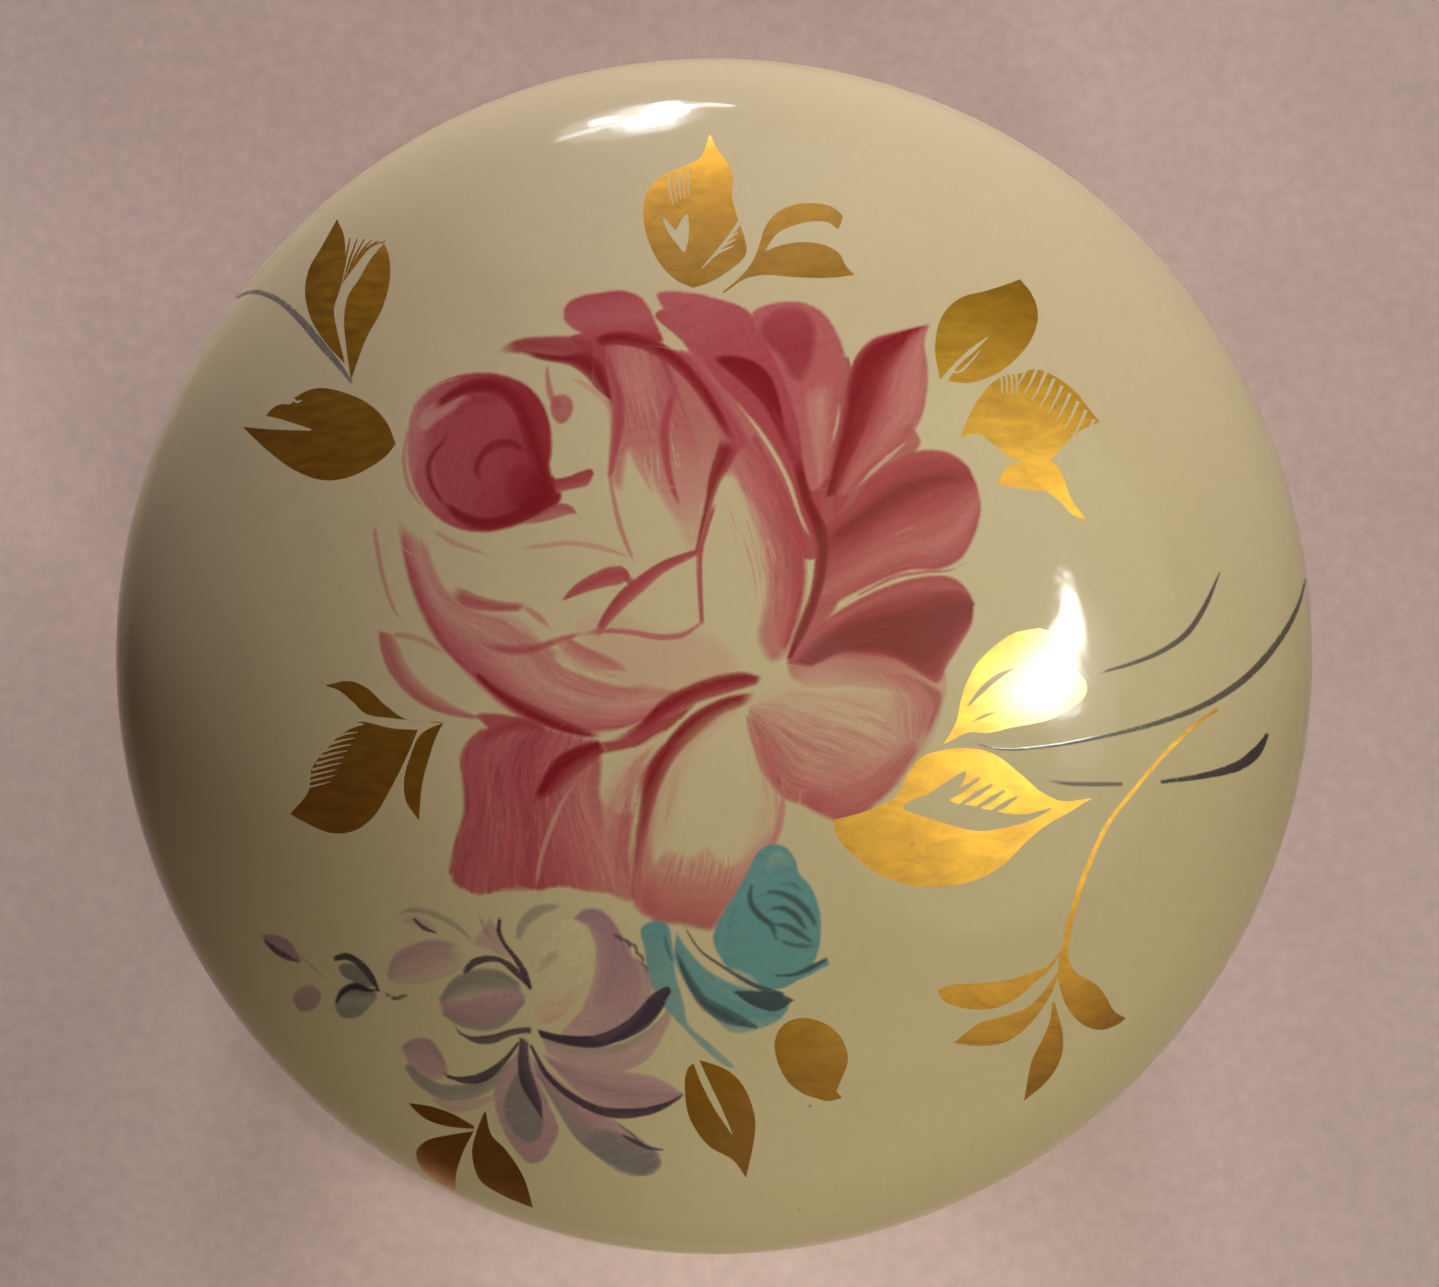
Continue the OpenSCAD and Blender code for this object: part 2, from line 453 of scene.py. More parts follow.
# ---- rose: back petals
bl([(563, 320), (566, 303), (583, 294), (601, 291), (622, 289), (640, 295), (650, 306), (657, 322), (664, 342), (640, 337),
    (610, 338), (585, 336)], [(0, "M", 1), (0.5, "R", 1), (0.8, "M", 1), (1, "C", 1)], (0.1, 1), e=3)
bl([(656, 293), (690, 291), (717, 297), (748, 309), (764, 330), (780, 350), (803, 380), (815, 420), (818, 460), (808, 480),
    (782, 452), (742, 410), (706, 368), (686, 341), (668, 318)], [(0, "R", 1), (0.45, "M", 1), (1, "M", 1)], (0.6, 1), e=3, s=0.7)
bl([(752, 311), (768, 303), (785, 300), (802, 301), (816, 306), (828, 316), (838, 332), (845, 350), (847, 370), (842, 400),
    (834, 440), (826, 480), (812, 492), (803, 470), (798, 430), (785, 388), (768, 350), (755, 330)],
   [(0, "R", 1), (0.5, "R", 1), (1, "P", 0.95)], (0.25, 1), e=3, s=0.8)
bl([(757, 330), (768, 312), (786, 306), (803, 308), (816, 322), (817, 345), (811, 368), (800, 384), (790, 378), (778, 358),
    (765, 345)], [(0, "C", 0.55), (0.5, "C", 0.85), (1, "C", 0.7)], (0.2, 1), e=7, s=0.9)
rb([(803, 384), (806, 420), (812, 460), (818, 500)], [(838, 372), (834, 410), (830, 450), (824, 490)],
   [(0, "P", 0.8), (0.5, "L", 0.75), (1, "R", 0.7)], e=5, f=(0.2, 0.2), s=0.9)
# petal 4
rb([(824, 498), (831, 465), (839, 425), (845, 388), (854, 358), (870, 339), (893, 331), (914, 326), (932, 322)],
   [(850, 495), (866, 476), (888, 459), (908, 441), (922, 420), (928, 395), (929, 365), (926, 342), (932, 322)],
   [(0, "M", 1), (0.12, "D", 1), (0.36, "C", 1), (0.5, "R", 1), (0.72, "P", 0.95), (0.9, "R", 0.9), (1, "P", 0.8)], e=3, s=1.0)
rb([(845, 390), (854, 362), (872, 342), (895, 335), (912, 330)], [(850, 440), (868, 408), (886, 378), (905, 352), (912, 332)],
   [(0, "D", 0.5), (0.5, "D", 0.95), (1, "C", 0.2)], e=5, f=(0.1, 0), s=0.8)
hairs([(846, 485), (872, 440), (900, 400), (918, 350)], [(858, 486), (890, 457), (918, 420), (926, 360)], 7, 2.0, "L", 0.55, seed=3)
ln([(856, 489), (872, 472), (891, 455), (906, 442)], (1, 5, 6, 2), "W", e=1.5, s=0)
# petal 5
rb([(815, 548), (826, 522), (849, 503), (868, 478), (893, 460), (922, 449), (948, 451), (967, 463), (978, 483)],
   [(808, 616), (842, 601), (872, 586), (909, 572), (941, 570), (961, 560), (976, 535), (982, 508), (978, 483)],
   [(0, "R", 1), (0.1, "M", 1), (0.3, "C", 1), (0.45, "M", 1), (0.6, "R", 1), (0.78, "P", 1), (0.92, "R", 1), (1, "M", 1)], e=3, s=1.0)
rb([(828, 532), (852, 508), (880, 484), (912, 470), (945, 470), (972, 482)],
   [(836, 545), (862, 540), (890, 524), (915, 507), (940, 492), (972, 484)],
   [(0, "M", 0.4), (0.4, "D", 0.95), (0.7, "C", 0.9), (1, "M", 0.2)], e=5, f=(0.05, 0.25), s=0.9)
hairs([(850, 560), (890, 530), (930, 505), (970, 500)], [(850, 592), (895, 574), (935, 565), (968, 540)], 7, 2.2, "L", 0.5, seed=4)
ln([(842, 604), (868, 590), (896, 577), (925, 572), (950, 570), (966, 562)], (1, 4, 5, 5, 4, 2), "P", e=1.8, s=0.1)
# petal 6, the dark one
rb([(786, 664), (811, 633), (833, 613), (860, 597), (884, 586), (910, 578), (935, 574), (955, 577), (968, 588), (976, 603)],
   [(812, 668), (843, 655), (870, 656), (894, 660), (915, 672), (938, 684), (950, 664), (963, 643), (973, 626), (976, 603)],
   [(0, "M", 1), (0.15, "R", 1), (0.3, "C", 1), (0.5, "D", 1), (0.75, "D", 1), (0.9, "C", 1), (1, "M", 0.9)], e=3, s=1.0)
rb([(800, 655), (830, 628), (862, 607), (900, 592), (935, 588), (965, 596)],
   [(812, 662), (848, 648), (885, 648), (920, 655), (946, 650), (968, 612)],
   [(0, "C", 0.2), (0.4, "D", 0.95), (1, "D", 0.5)], e=5, f=(0.05, 0.1), s=0.9)
hairs([(822, 640), (860, 610), (900, 590), (950, 590)], [(825, 655), (870, 645), (915, 655), (955, 640)], 6, 2.0, "M", 0.5, seed=5)
# petal 7, pale with a cream heart
rb([(750, 699), (775, 681), (797, 668), (830, 658), (865, 655), (900, 664), (930, 681), (946, 690)],
   [(747, 712), (756, 742), (766, 772), (780, 797), (800, 806), (822, 812), (843, 824)],
   [(0, "L", 0.12), (0.15, "L", 0.10), (0.35, "L", 0.25), (0.6, "P", 0.55), (0.85, "R", 0.85), (1, "M", 0.9)],
   cap=[(943, 712), (929, 734), (917, 755), (897, 788), (879, 802), (860, 816)], e=4, s=1.3, f=(0, 0))
rb([(905, 672), (930, 682), (944, 694), (936, 724), (922, 745)], [(862, 668), (880, 690), (890, 712), (895, 735), (905, 758)],
   [(0, "C", 0.9), (0.3, "R", 0.75), (0.7, "P", 0.5), (1, "L", 0.1)], e=6, f=(0, 0.3), s=1.2)
rb([(800, 776), (830, 772), (862, 762), (890, 745), (914, 735)], [(800, 806), (843, 824), (879, 803), (904, 775), (921, 750)],
   [(0, "P", 0.1), (0.4, "R", 0.6), (1, "M", 0.9)], e=5, f=(0.1, 0.05), s=1.2)
hairs([(770, 690), (830, 680), (890, 700), (925, 720)], [(765, 740), (790, 770), (830, 795), (870, 800)], 16, 2.2, "P", 0.5,
      u0=(0.25, 0.6), u1=(0.85, 1.0), seed=6)
hairs([(790, 700), (850, 700), (900, 715)], [(780, 760), (815, 780), (860, 790)], 8, 2.4, "W", 0.45, u0=(0.1, 0.3), u1=(0.6, 0.9), seed=7)
rb([(744, 716), (750, 742), (760, 770), (777, 797)], [(751, 714), (764, 735), (779, 752), (800, 770)],
   [(0, "M", 0.85), (0.3, "R", 0.8), (1, "P", 0.1)], e=3, f=(0, 0.25), s=0.8)
# ---- rose: the big left band
rb([(397, 523), (403, 560), (410, 588), (422, 616), (438, 644), (458, 664), (478, 684), (510, 712), (540, 727), (576, 733), (615, 731), (650, 720), (690, 700)],
   [(425, 534), (437, 568), (457, 600), (484, 608), (510, 612), (536, 632), (556, 662), (588, 679), (627, 687), (659, 688), (690, 688)],
   [(0, "M", 0.95), (0.12, "R", 1), (0.35, "P", 1), (0.6, "L", 0.9), (0.85, "P", 0.85), (1, "L", 0.5)], e=4, f=(0.06, 0.08), s=1.0)
rb([(400, 545), (412, 590), (436, 640), (470, 676), (512, 712), (556, 730)], [(420, 560), (440, 606), (466, 640), (500, 668), (536, 694), (575, 716)],
   [(0, "M", 0.85), (0.5, "R", 0.7), (1, "P", 0.0)], e=3, f=(0.1, 0.2), s=1.0)
hairs([(412, 560), (436, 620), (480, 675), (560, 722), (650, 712)], [(432, 560), (470, 606), (540, 640), (600, 682), (670, 690)], 12, 2.2, "M", 0.4,
      u0=(0.02, 0.5), u1=(0.5, 0.95), seed=8)
hairs([(430, 560), (455, 615), (500, 660), (570, 700), (650, 705)], [(440, 560), (480, 606), (545, 645), (605, 684), (670, 690)], 8, 2.4, "L", 0.6,
      u0=(0.1, 0.5), u1=(0.6, 0.98), seed=9)
rb([(470, 672), (492, 694), (516, 712), (545, 727), (575, 737), (612, 738)], [(478, 670), (502, 688), (530, 702), (560, 716), (590, 730), (612, 736)],
   [(0, "C", 0.9), (0.4, "D", 1), (1, "C", 0.6)], e=3, f=(0.05, 0.15), s=0.4)
rb([(447, 590), (462, 606), (490, 612), (524, 612)], [(454, 583), (478, 594), (500, 600), (526, 602)], [(0, "R", 0.8), (0.5, "M", 0.95), (1, "M", 0.5)], e=2, f=(0.2, 0.1), s=0.4)
ln([(520, 604), (540, 618), (556, 634)], (6, 9, 3), [(0, "P", 0.8)], e=2, f=(0.1, 0.4))
rb([(470, 640), (500, 654), (530, 655), (556, 646), (586, 634)], [(474, 636), (505, 643), (532, 643), (556, 636), (584, 630)],
   [(0, "R", 0.7), (0.5, "M", 0.9), (1, "R", 0.5)], e=2.5, f=(0.3, 0.1), s=0.5)
rb([(545, 652), (562, 668), (590, 680), (622, 688), (650, 688)], [(560, 644), (580, 660), (606, 672), (632, 679), (650, 686)], [(0, "W", 0.8), (0.5, "W", 0.95), (1, "L", 0.3)],
   e=4, f=(0.15, 0.25), s=0.7)
rb([(548, 640), (572, 660), (600, 671), (630, 672)], [(563, 633), (586, 646), (610, 660), (630, 668)], [(0, "P", 0.6), (0.5, "P", 0.9), (1, "R", 0.5)], e=3, f=(0.2, 0.1), s=0.6)
# thin outer petals on the left
ln([(374, 526), (378, 552), (384, 580), (393, 607), (406, 628)], (5, 7, 6, 5, 2), [(0, "P", 0.75)], e=2, f=(0.05, 0.2))
rb([(377, 628), (380, 652), (388, 672), (402, 690), (424, 707), (450, 716), (478, 720), (510, 716)],
   [(392, 632), (400, 645), (408, 664), (424, 684), (442, 697), (462, 708), (484, 716), (510, 714)],
   [(0, "R", 0.9), (0.4, "M", 0.8), (0.8, "P", 0.8), (1, "P", 0.4)], e=2.5, f=(0.03, 0.1), s=0.6)
ln([(392, 634), (412, 637), (432, 645), (452, 660)], (7, 8, 7, 2), [(0, "P", 0.7)], e=2.5, f=(0.05, 0.3))
# ---- rose: strands over the cream heart
rb([(494, 353), (506, 343), (521, 337), (545, 335), (572, 335), (596, 340)], [(494, 354), (512, 354), (530, 356), (550, 360), (572, 365), (592, 380)],
   [(0, "M", 0.9), (0.4, "C", 0.95), (1, "M", 0.9)], e=3, f=(0.25, 0), s=0.7)
rb([(520, 349), (540, 352), (562, 354), (588, 352), (604, 366), (613, 402)], [(524, 356), (546, 362), (568, 366), (584, 376), (596, 390), (611, 402)],
   [(0, "C", 0.9), (0.5, "D", 1), (1, "C", 0.8)], e=2.5, f=(0.15, 0.05), s=0.5)
ln([(547, 362), (548, 380), (552, 397), (560, 408)], (3, 7, 9, 10), [(0, "R", 0.8)], e=2.5, f=(0.1, 0))
bl([(553, 396), (566, 393), (574, 402), (572, 416), (562, 425), (553, 420), (549, 408)], [(0, "R", 0.9), (1, "M", 0.8)], e=3)
ln([(566, 376), (584, 384), (600, 396), (610, 410)], (3, 7, 8, 3), [(0, "L", 0.8)], e=2.5, f=(0.2, 0.2))
# pink ground under the hanging strands
rb([(604, 342), (606, 370), (612, 400), (618, 440), (622, 480)], [(664, 350), (676, 380), (690, 420), (700, 455), (703, 490)],
   [(0, "R", 0.85), (0.3, "P", 0.9), (0.6, "P", 0.8), (0.85, "R", 0.8), (1, "M", 0.8)], e=4, f=(0, 0.75), s=1.6)
rb([(640, 345), (668, 366), (694, 400), (716, 440), (728, 470)], [(690, 350), (722, 392), (752, 440), (776, 496), (790, 560)],
   [(0, "P", 0.8), (0.35, "R", 0.95), (0.7, "M", 1), (1, "R", 1)], e=4, f=(0, 0.1), s=1.0)
rb([(722, 468), (738, 500), (752, 540), (764, 590), (768, 640)], [(756, 430), (786, 490), (805, 540), (806, 590), (786, 655)],
   [(0, "L", 0.0), (0.3, "P", 0.75), (0.7, "R", 0.95), (1, "M", 0.95)], e=4, f=(0.02, 0.04), s=1.6)
hairs([(716, 486), (726, 530), (742, 580), (757, 640)], [(752, 450), (778, 510), (790, 560), (778, 640)], 14, 2.4, "P", 0.6, u0=(0, 0.45), u1=(0.5, 1.0), seed=10)
hairs([(716, 500), (726, 540), (744, 590), (760, 640)], [(744, 470), (770, 520), (784, 570), (774, 630)], 9, 3.0, "W", 0.55, u0=(0.1, 0.5), u1=(0.5, 0.9), seed=11)
hairs([(606, 372), (616, 420), (624, 500)], [(668, 380), (690, 440), (700, 480)], 10, 2.6, "M", 0.5, u0=(0, 0.2), u1=(0.45, 0.8), seed=12)
hairs([(612, 392), (620, 430), (626, 500)], [(662, 392), (684, 440), (696, 490)], 8, 3.0, "W", 0.6, u0=(0.35, 0.6), u1=(0.75, 1), seed=13)
ln([(607, 345), (612, 375), (618, 398), (617, 425), (613, 455), (609, 480)], (5, 9, 14, 15, 11, 6), [(0, "M", 0.85), (0.5, "M", 1), (1, "R", 0.7)], e=3, f=(0.15, 0.05))
ln([(609, 470), (614, 500), (622, 532), (630, 552), (637, 568)], (5, 6, 7, 6, 3), [(0, "R", 0.7)], e=2, f=(0.05, 0.2))
ln([(676, 384), (670, 402), (664, 428), (665, 452), (671, 482), (682, 512)], (6, 11, 13, 10, 8, 3), [(0, "M", 0.9), (0.6, "M", 1), (1, "R", 0.6)], e=2.5, f=(0.15, 0.15))
ln([(629, 430), (636, 455), (646, 478), (657, 500)], (8, 12, 9, 3), [(0, "P", 0.7)], e=3, f=(0.3, 0.3))
# main arch and the dark strands that leave it
rb([(592, 338), (610, 331), (632, 331), (656, 338), (682, 356), (706, 384), (728, 420), (745, 455)],
   [(596, 348), (616, 346), (640, 350), (660, 360), (682, 378), (702, 402), (722, 432), (742, 462)],
   [(0, "C", 0.95), (0.45, "D", 1), (1, "C", 0.75)], e=3, f=(0.04, 0.25), s=0.5)
rb([(706, 357), (732, 354), (756, 361), (772, 376), (782, 406), (789, 450)], [(712, 360), (732, 376), (750, 392), (764, 408), (776, 430), (788, 450)],
   [(0, "D", 1), (0.5, "D", 1), (1, "D", 0.85)], e=3, f=(0.12, 0.02), s=0.5)
rb([(720, 436), (714, 455), (708, 475), (704, 500), (698, 530), (692, 560)], [(740, 442), (734, 462), (722, 482), (714, 502), (705, 530), (696, 560)],
   [(0, "C", 0.9), (0.5, "D", 0.95), (1, "M", 0.8)], e=2.5, f=(0.08, 0.12), s=0.5)
ln([(716, 500), (706, 530), (700, 552), (700, 590), (702, 627)], (6, 7, 8, 7, 6), [(0, "M", 0.9), (0.5, "M", 1), (1, "R", 0.7)], e=2, f=(0.1, 0.05))
rb([(788, 442), (794, 475), (802, 505), (812, 530), (817, 556), (810, 590), (797, 625), (784, 662)],
   [(803, 446), (807, 476), (815, 502), (828, 528), (829, 560), (822, 595), (810, 628), (792, 660)],
   [(0, "C", 0.9), (0.35, "D", 1), (0.7, "D", 1), (1, "C", 0.85)], e=3, f=(0.15, 0.02), s=0.5)
ln([(770, 400), (782, 430), (796, 462)], (4, 12, 10), [(0, "C", 0.7)], e=4, f=(0.3, 0.1))
# strokes in the cream heart
ln([(514, 549), (540, 546), (571, 543), (602, 548), (632, 558)], (5, 7, 7, 7, 3), [(0, "P", 0.6)], e=2.2, f=(0.2, 0.1))
ln([(432, 530), (455, 543), (480, 552), (496, 558)], (5, 8, 6, 3), [(0, "P", 0.6)], e=2.2, f=(0.1, 0.3))
rb([(560, 601), (572, 586), (590, 574), (608, 566), (622, 565)], [(562, 602), (584, 594), (604, 588), (620, 585), (630, 580)], [(0, "M", 0.9), (0.5, "M", 1), (1, "M", 0.8)],
   e=2, cap=[(630, 572)], f=(0.08, 0))
rb([(704, 546), (684, 552), (662, 560), (640, 574), (620, 590), (606, 608), (592, 634)], [(703, 553), (686, 562), (664, 574), (646, 590), (628, 606), (612, 622), (596, 642)],
   [(0, "C", 0.9), (0.5, "M", 1), (1, "R", 0.85)], e=2, f=(0.06, 0.1), s=0.4)
ln([(620, 572), (632, 582), (640, 588)], (6, 10, 6), [(0, "M", 0.9)], e=2)
ln([(576, 636), (600, 631), (630, 632), (660, 637), (682, 635), (703, 622)], (5, 7, 7, 8, 8, 4), [(0, "R", 0.85)], e=2, f=(0.2, 0.05))
ln([(560, 634), (578, 648), (600, 658), (628, 668)], (6, 12, 12, 5), [(0, "R", 0.8), (1, "P", 0.7)], e=3, f=(0.15, 0.2))
# ---- rose: lower petals
rb([(479, 728), (466, 740), (458, 758), (461, 785), (462, 812), (454, 840), (447, 872)],
   [(600, 738), (592, 770), (590, 800), (600, 835), (612, 862), (622, 890)],
   [(0, "M", 0.9), (0.25, "R", 1), (0.5, "M", 0.95), (0.75, "R", 0.9), (1, "P", 0.7)], cap=[(456, 885), (477, 896), (500, 892), (520, 887), (536, 892), (560, 888), (590, 893), (610, 894)],
   base=[(560, 730), (520, 722)], e=3.5, s=1.7, f=(0, 0))
hairs([(486, 726), (478, 760), (474, 810), (460, 880)], [(596, 742), (570, 780), (560, 830), (560, 885)], 18, 2.6, "C", 0.5, u0=(0, 0.2), u1=(0.35, 0.95), seed=14)
hairs([(486, 726), (478, 760), (474, 810), (460, 880)], [(600, 745), (585, 790), (590, 840), (604, 888)], 16, 2.6, "P", 0.6, u0=(0.2, 0.6), u1=(0.75, 1.0), seed=15)
ln([(586, 770), (566, 796), (550, 830), (540, 862), (536, 888)], (2, 5, 7, 6, 4), [(0, "L", 0.75)], e=2.2, f=(0.3, 0.1))
rb([(481, 733), (500, 722), (524, 716), (548, 724)], [(470, 752), (492, 742), (516, 734), (544, 732)], [(0, "M", 0.7), (0.5, "C", 0.7), (1, "M", 0.2)], e=4, f=(0.2, 0.1), s=0.8)
rb([(600, 738), (578, 744), (556, 756), (542, 776), (529, 805)], [(606, 752), (590, 766), (572, 780), (552, 796), (532, 806)],
   [(0, "D", 0.95), (0.5, "D", 1), (1, "C", 0.5)], e=4, f=(0.03, 0.2), s=0.8)
bl([(665, 730), (640, 744), (618, 764), (602, 790), (600, 812), (608, 830), (618, 812), (630, 784), (648, 756), (664, 738)], [(0, "W", 0.95), (1, "L", 0.5)], e=4, s=0.8)
rb([(650, 742), (624, 768), (606, 800), (600, 840), (608, 880)], [(668, 732), (646, 762), (634, 800), (628, 850), (632, 895)],
   [(0, "L", 0.4), (0.4, "P", 0.6), (1, "R", 0.8)], e=4, f=(0.2, 0.1), s=1.4)
# petal 9, bottom centre
rb([(738, 707), (700, 728), (668, 752), (646, 782), (638, 812), (630, 850), (626, 893)],
   [(746, 714), (760, 748), (776, 780), (781, 806), (778, 836), (760, 862), (745, 885)],
   [(0, "R", 0.75), (0.12, "P", 0.4), (0.3, "W", 0.2), (0.8, "W", 0.1), (0.93, "P", 0.35), (1, "R", 0.8)],
   cap=[(636, 912), (653, 923), (680, 926), (713, 931), (730, 912)], e=3.5, s=1.4)
rb([(650, 788), (640, 818), (632, 856), (630, 896)], [(664, 760), (660, 800), (655, 850), (664, 905)], [(0, "M", 0.75), (0.4, "R", 0.85), (1, "P", 0.3)], cap=[(640, 914), (652, 918)],
   e=4, f=(0.3, 0), s=1.2)
bl([(640, 900), (650, 868), (668, 848), (690, 856), (706, 846), (728, 864), (752, 842), (768, 826), (781, 800), (778, 836), (760, 862), (742, 890),
    (728, 910), (713, 931), (680, 926), (653, 923)], [(0, "P", 0.0), (0.45, "P", 0.55), (0.75, "R", 0.85), (1, "M", 0.9)], (-0.1, 1), e=6, s=0.25)
hairs([(672, 840), (660, 870), (652, 915)], [(742, 838), (744, 864), (728, 908)], 13, 3.0, "R", 0.7, u0=(0, 0.25), u1=(0.6, 1.0), seed=16)
hairs([(676, 836), (668, 866), (660, 908)], [(736, 842), (738, 864), (726, 900)], 9, 3.4, "W", 0.6, u0=(0, 0.25), u1=(0.5, 0.9), seed=17)
ln([(780, 760), (783, 790), (782, 815), (776, 838), (764, 862)], (2, 6, 8, 8, 5), [(0, "P", 0.8)], e=2.5, f=(0.3, 0.1))
# the dark strokes that cross the middle
rb([(640, 722), (662, 698), (688, 684), (718, 674), (745, 671), (764, 676)], [(600, 742), (640, 740), (668, 720), (698, 704), (730, 694), (762, 684)],
   [(0, "C", 0.8), (0.3, "D", 1), (0.6, "C", 1), (1, "M", 0.85)], e=3, f=(0.15, 0.05), s=0.7)
rb([(760, 690), (724, 696), (690, 714), (664, 742), (646, 770), (638, 806), (634, 850), (636, 905)],
   [(752, 704), (724, 716), (698, 736), (676, 760), (664, 784), (654, 812), (646, 850), (642, 908)],
   [(0, "C", 0.95), (0.4, "D", 1), (0.8, "C", 0.8), (1, "M", 0.4)], e=3, f=(0.06, 0.5), s=0.7)
# ---- rose bud
bl([(406, 455), (407, 430), (413, 406), (428, 388), (452, 376), (480, 371), (508, 375), (530, 386), (544, 403), (552, 426), (553, 450), (551, 470), (560, 484),
    (562, 500), (548, 512), (517, 526), (490, 533), (462, 531), (440, 521), (420, 500), (410, 478)],
   [(0, "P", 1), (0.12, "R", 1), (0.35, "M", 1), (0.75, "C", 1), (1, "C", 1)], (1, 0.1), e=3, s=0.8)
bl([(430, 425), (446, 412), (470, 400), (500, 398), (520, 412), (530, 440), (532, 470), (530, 500), (505, 516), (470, 516), (446, 500), (432, 470), (427, 446)],
   [(0, "M", 0.9), (0.5, "M", 0.9), (1, "C", 0.9)], (1, 0.4), e=8, s=0.9)
bl([(416, 424), (424, 408), (442, 398), (466, 394), (472, 399), (452, 412), (436, 424), (424, 432)], [(0, "P", 0.9), (1, "L", 0.8)], (0, 1), e=4, s=0.8)
rb([(428, 408), (448, 390), (474, 377), (502, 378), (524, 394), (538, 420), (548, 452), (556, 488), (560, 498)],
   [(434, 414), (456, 400), (480, 394), (500, 398), (514, 414), (522, 442), (532, 470), (542, 496), (548, 508)],
   [(0, "C", 0.9), (0.5, "D", 1), (1, "C", 0.9)], e=3, f=(0.08, 0.05), s=0.6)
rb([(440, 502), (455, 520), (478, 531), (505, 530), (532, 520), (556, 502)], [(446, 500), (466, 512), (486, 517), (508, 512), (528, 500), (548, 486)],
   [(0, "C", 0.9), (0.5, "D", 1), (1, "D", 0.85)], e=3, f=(0.1, 0.02), s=0.6)
ln([(450, 424), (444, 440), (436, 450), (429, 462), (430, 480), (438, 496), (448, 508)], (4, 6, 6, 8, 8, 7, 4), [(0, "D", 0.8)], e=3, f=(0.3, 0.1))
rb([(452, 412), (462, 398), (482, 394), (504, 402)], [(446, 424), (462, 420), (480, 412), (500, 412)], [(0, "C", 0.75), (1, "M", 0.6)], e=4, f=(0.2, 0.2), s=0.8)
ln([(526, 452), (510, 443), (492, 446), (480, 458), (477, 472), (484, 486)], (6, 10, 11, 9, 8, 4), [(0, "D", 0.75)], e=3, f=(0.1, 0.2))
bl([(486, 470), (500, 462), (516, 470), (520, 490), (506, 504), (490, 500), (482, 486)], [(0, "M", 0.6), (1, "C", 0.7)], (1, 0.3), e=5)
bl([(505, 470), (525, 462), (545, 478), (560, 498), (548, 508), (528, 516), (510, 506), (504, 490)], [(0, "C", 0.5), (0.6, "D", 0.9), (1, "D", 0.9)], (1, 0.4), e=7, s=0.9)
ln([(412, 408), (422, 396), (440, 384), (460, 378)], (2, 3, 3, 2), [(0, "L", 0.6)], e=1.2)
ln([(407, 430), (404, 460), (410, 488), (424, 508)], (3, 6, 6, 3), [(0, "P", 0.8)], e=2)
rb([(552, 478), (566, 476), (582, 470), (592, 468), (595, 474)], [(556, 494), (572, 490), (588, 486), (595, 474)], [(0, "C", 0.95), (0.6, "M", 1), (1, "R", 0.9)], e=2)
rb([(546, 508), (562, 502), (574, 507), (578, 514)], [(520, 526), (546, 522), (566, 516), (578, 514)], [(0, "M", 0.95), (1, "R", 0.8)], e=2)

# ---- blue-green bud
bl([(712, 938), (722, 912), (736, 890), (748, 868), (758, 850), (772, 843), (786, 846), (796, 858), (800, 872), (812, 886), (820, 906), (822, 930), (818, 956),
    (806, 974), (786, 988), (764, 990), (742, 980), (722, 962)], [(0, "T", 1), (0.5, "T", 1), (1, "T", 1)], (0.5, 1), e=2.5, s=0.5)
bl([(764, 862), (776, 850), (792, 858), (792, 868), (776, 868), (768, 880)], [(0, "t", 0.8), (1, "T", 0.6)], (0.2, 1), e=3)
bl([(640, 928), (652, 920), (668, 924), (674, 948), (676, 972), (684, 1000), (690, 1024), (712, 1044), (736, 1068), (728, 1068), (706, 1052), (684, 1030), (662, 1006),
    (648, 980), (644, 952)], [(0, "T", 1), (1, "t", 1)], (0.3, 1), e=2.5, s=0.6)
rb([(676, 930), (690, 950), (710, 970), (740, 985), (780, 992)], [(672, 960), (688, 990), (710, 1016), (734, 1034), (762, 1030)], [(0, "T", 0.9), (0.6, "T", 1), (1, "t", 0.9)],
   cap=[(790, 1006), (780, 1020)], e=2.5, s=0.8)
bl([(730, 968), (748, 972), (760, 984), (752, 994), (738, 986)], [(0, "W", 0.7), (1, "t", 0.5)], e=4)
ln([(780, 978), (800, 974), (818, 966), (830, 962)], (10, 12, 11, 6), [(0, "T", 1)], e=2)
ln([(752, 884), (750, 900), (758, 914), (772, 926), (776, 940)], (4, 8, 9, 8, 4), [(0, "N", 0.85)], e=3)
ln([(760, 896), (774, 892), (792, 898), (808, 912), (816, 926)], (3, 7, 9, 9, 5), [(0, "N", 0.8)], e=3)
ln([(766, 910), (782, 908), (796, 916), (806, 930)], (3, 8, 9, 5), [(0, "N", 0.85)], e=3)
ln([(772, 924), (786, 926), (800, 934), (812, 942)], (3, 8, 9, 4), [(0, "N", 0.8)], e=3)
ln([(776, 938), (790, 944), (804, 946), (816, 946)], (3, 6, 7, 3), [(0, "N", 0.7)], e=3)
ln([(780, 884), (792, 884), (802, 892)], (3, 7, 4), [(0, "N", 0.6)], e=3)
ln([(740, 900), (732, 918), (728, 940)], (3, 8, 3), [(0, "T", 0.5), (1, "N", 0.35)], e=4)
ln([(684, 926), (700, 950), (722, 966), (752, 984), (784, 996)], (3, 4, 5, 6, 8), [(0, "N", 0.9)], e=1.8)
rb([(736, 990), (760, 990), (784, 994), (796, 1000)], [(732, 992), (752, 1006), (776, 1012), (796, 1000)], [(0, "N", 0.9), (1, "N", 1)], e=2)
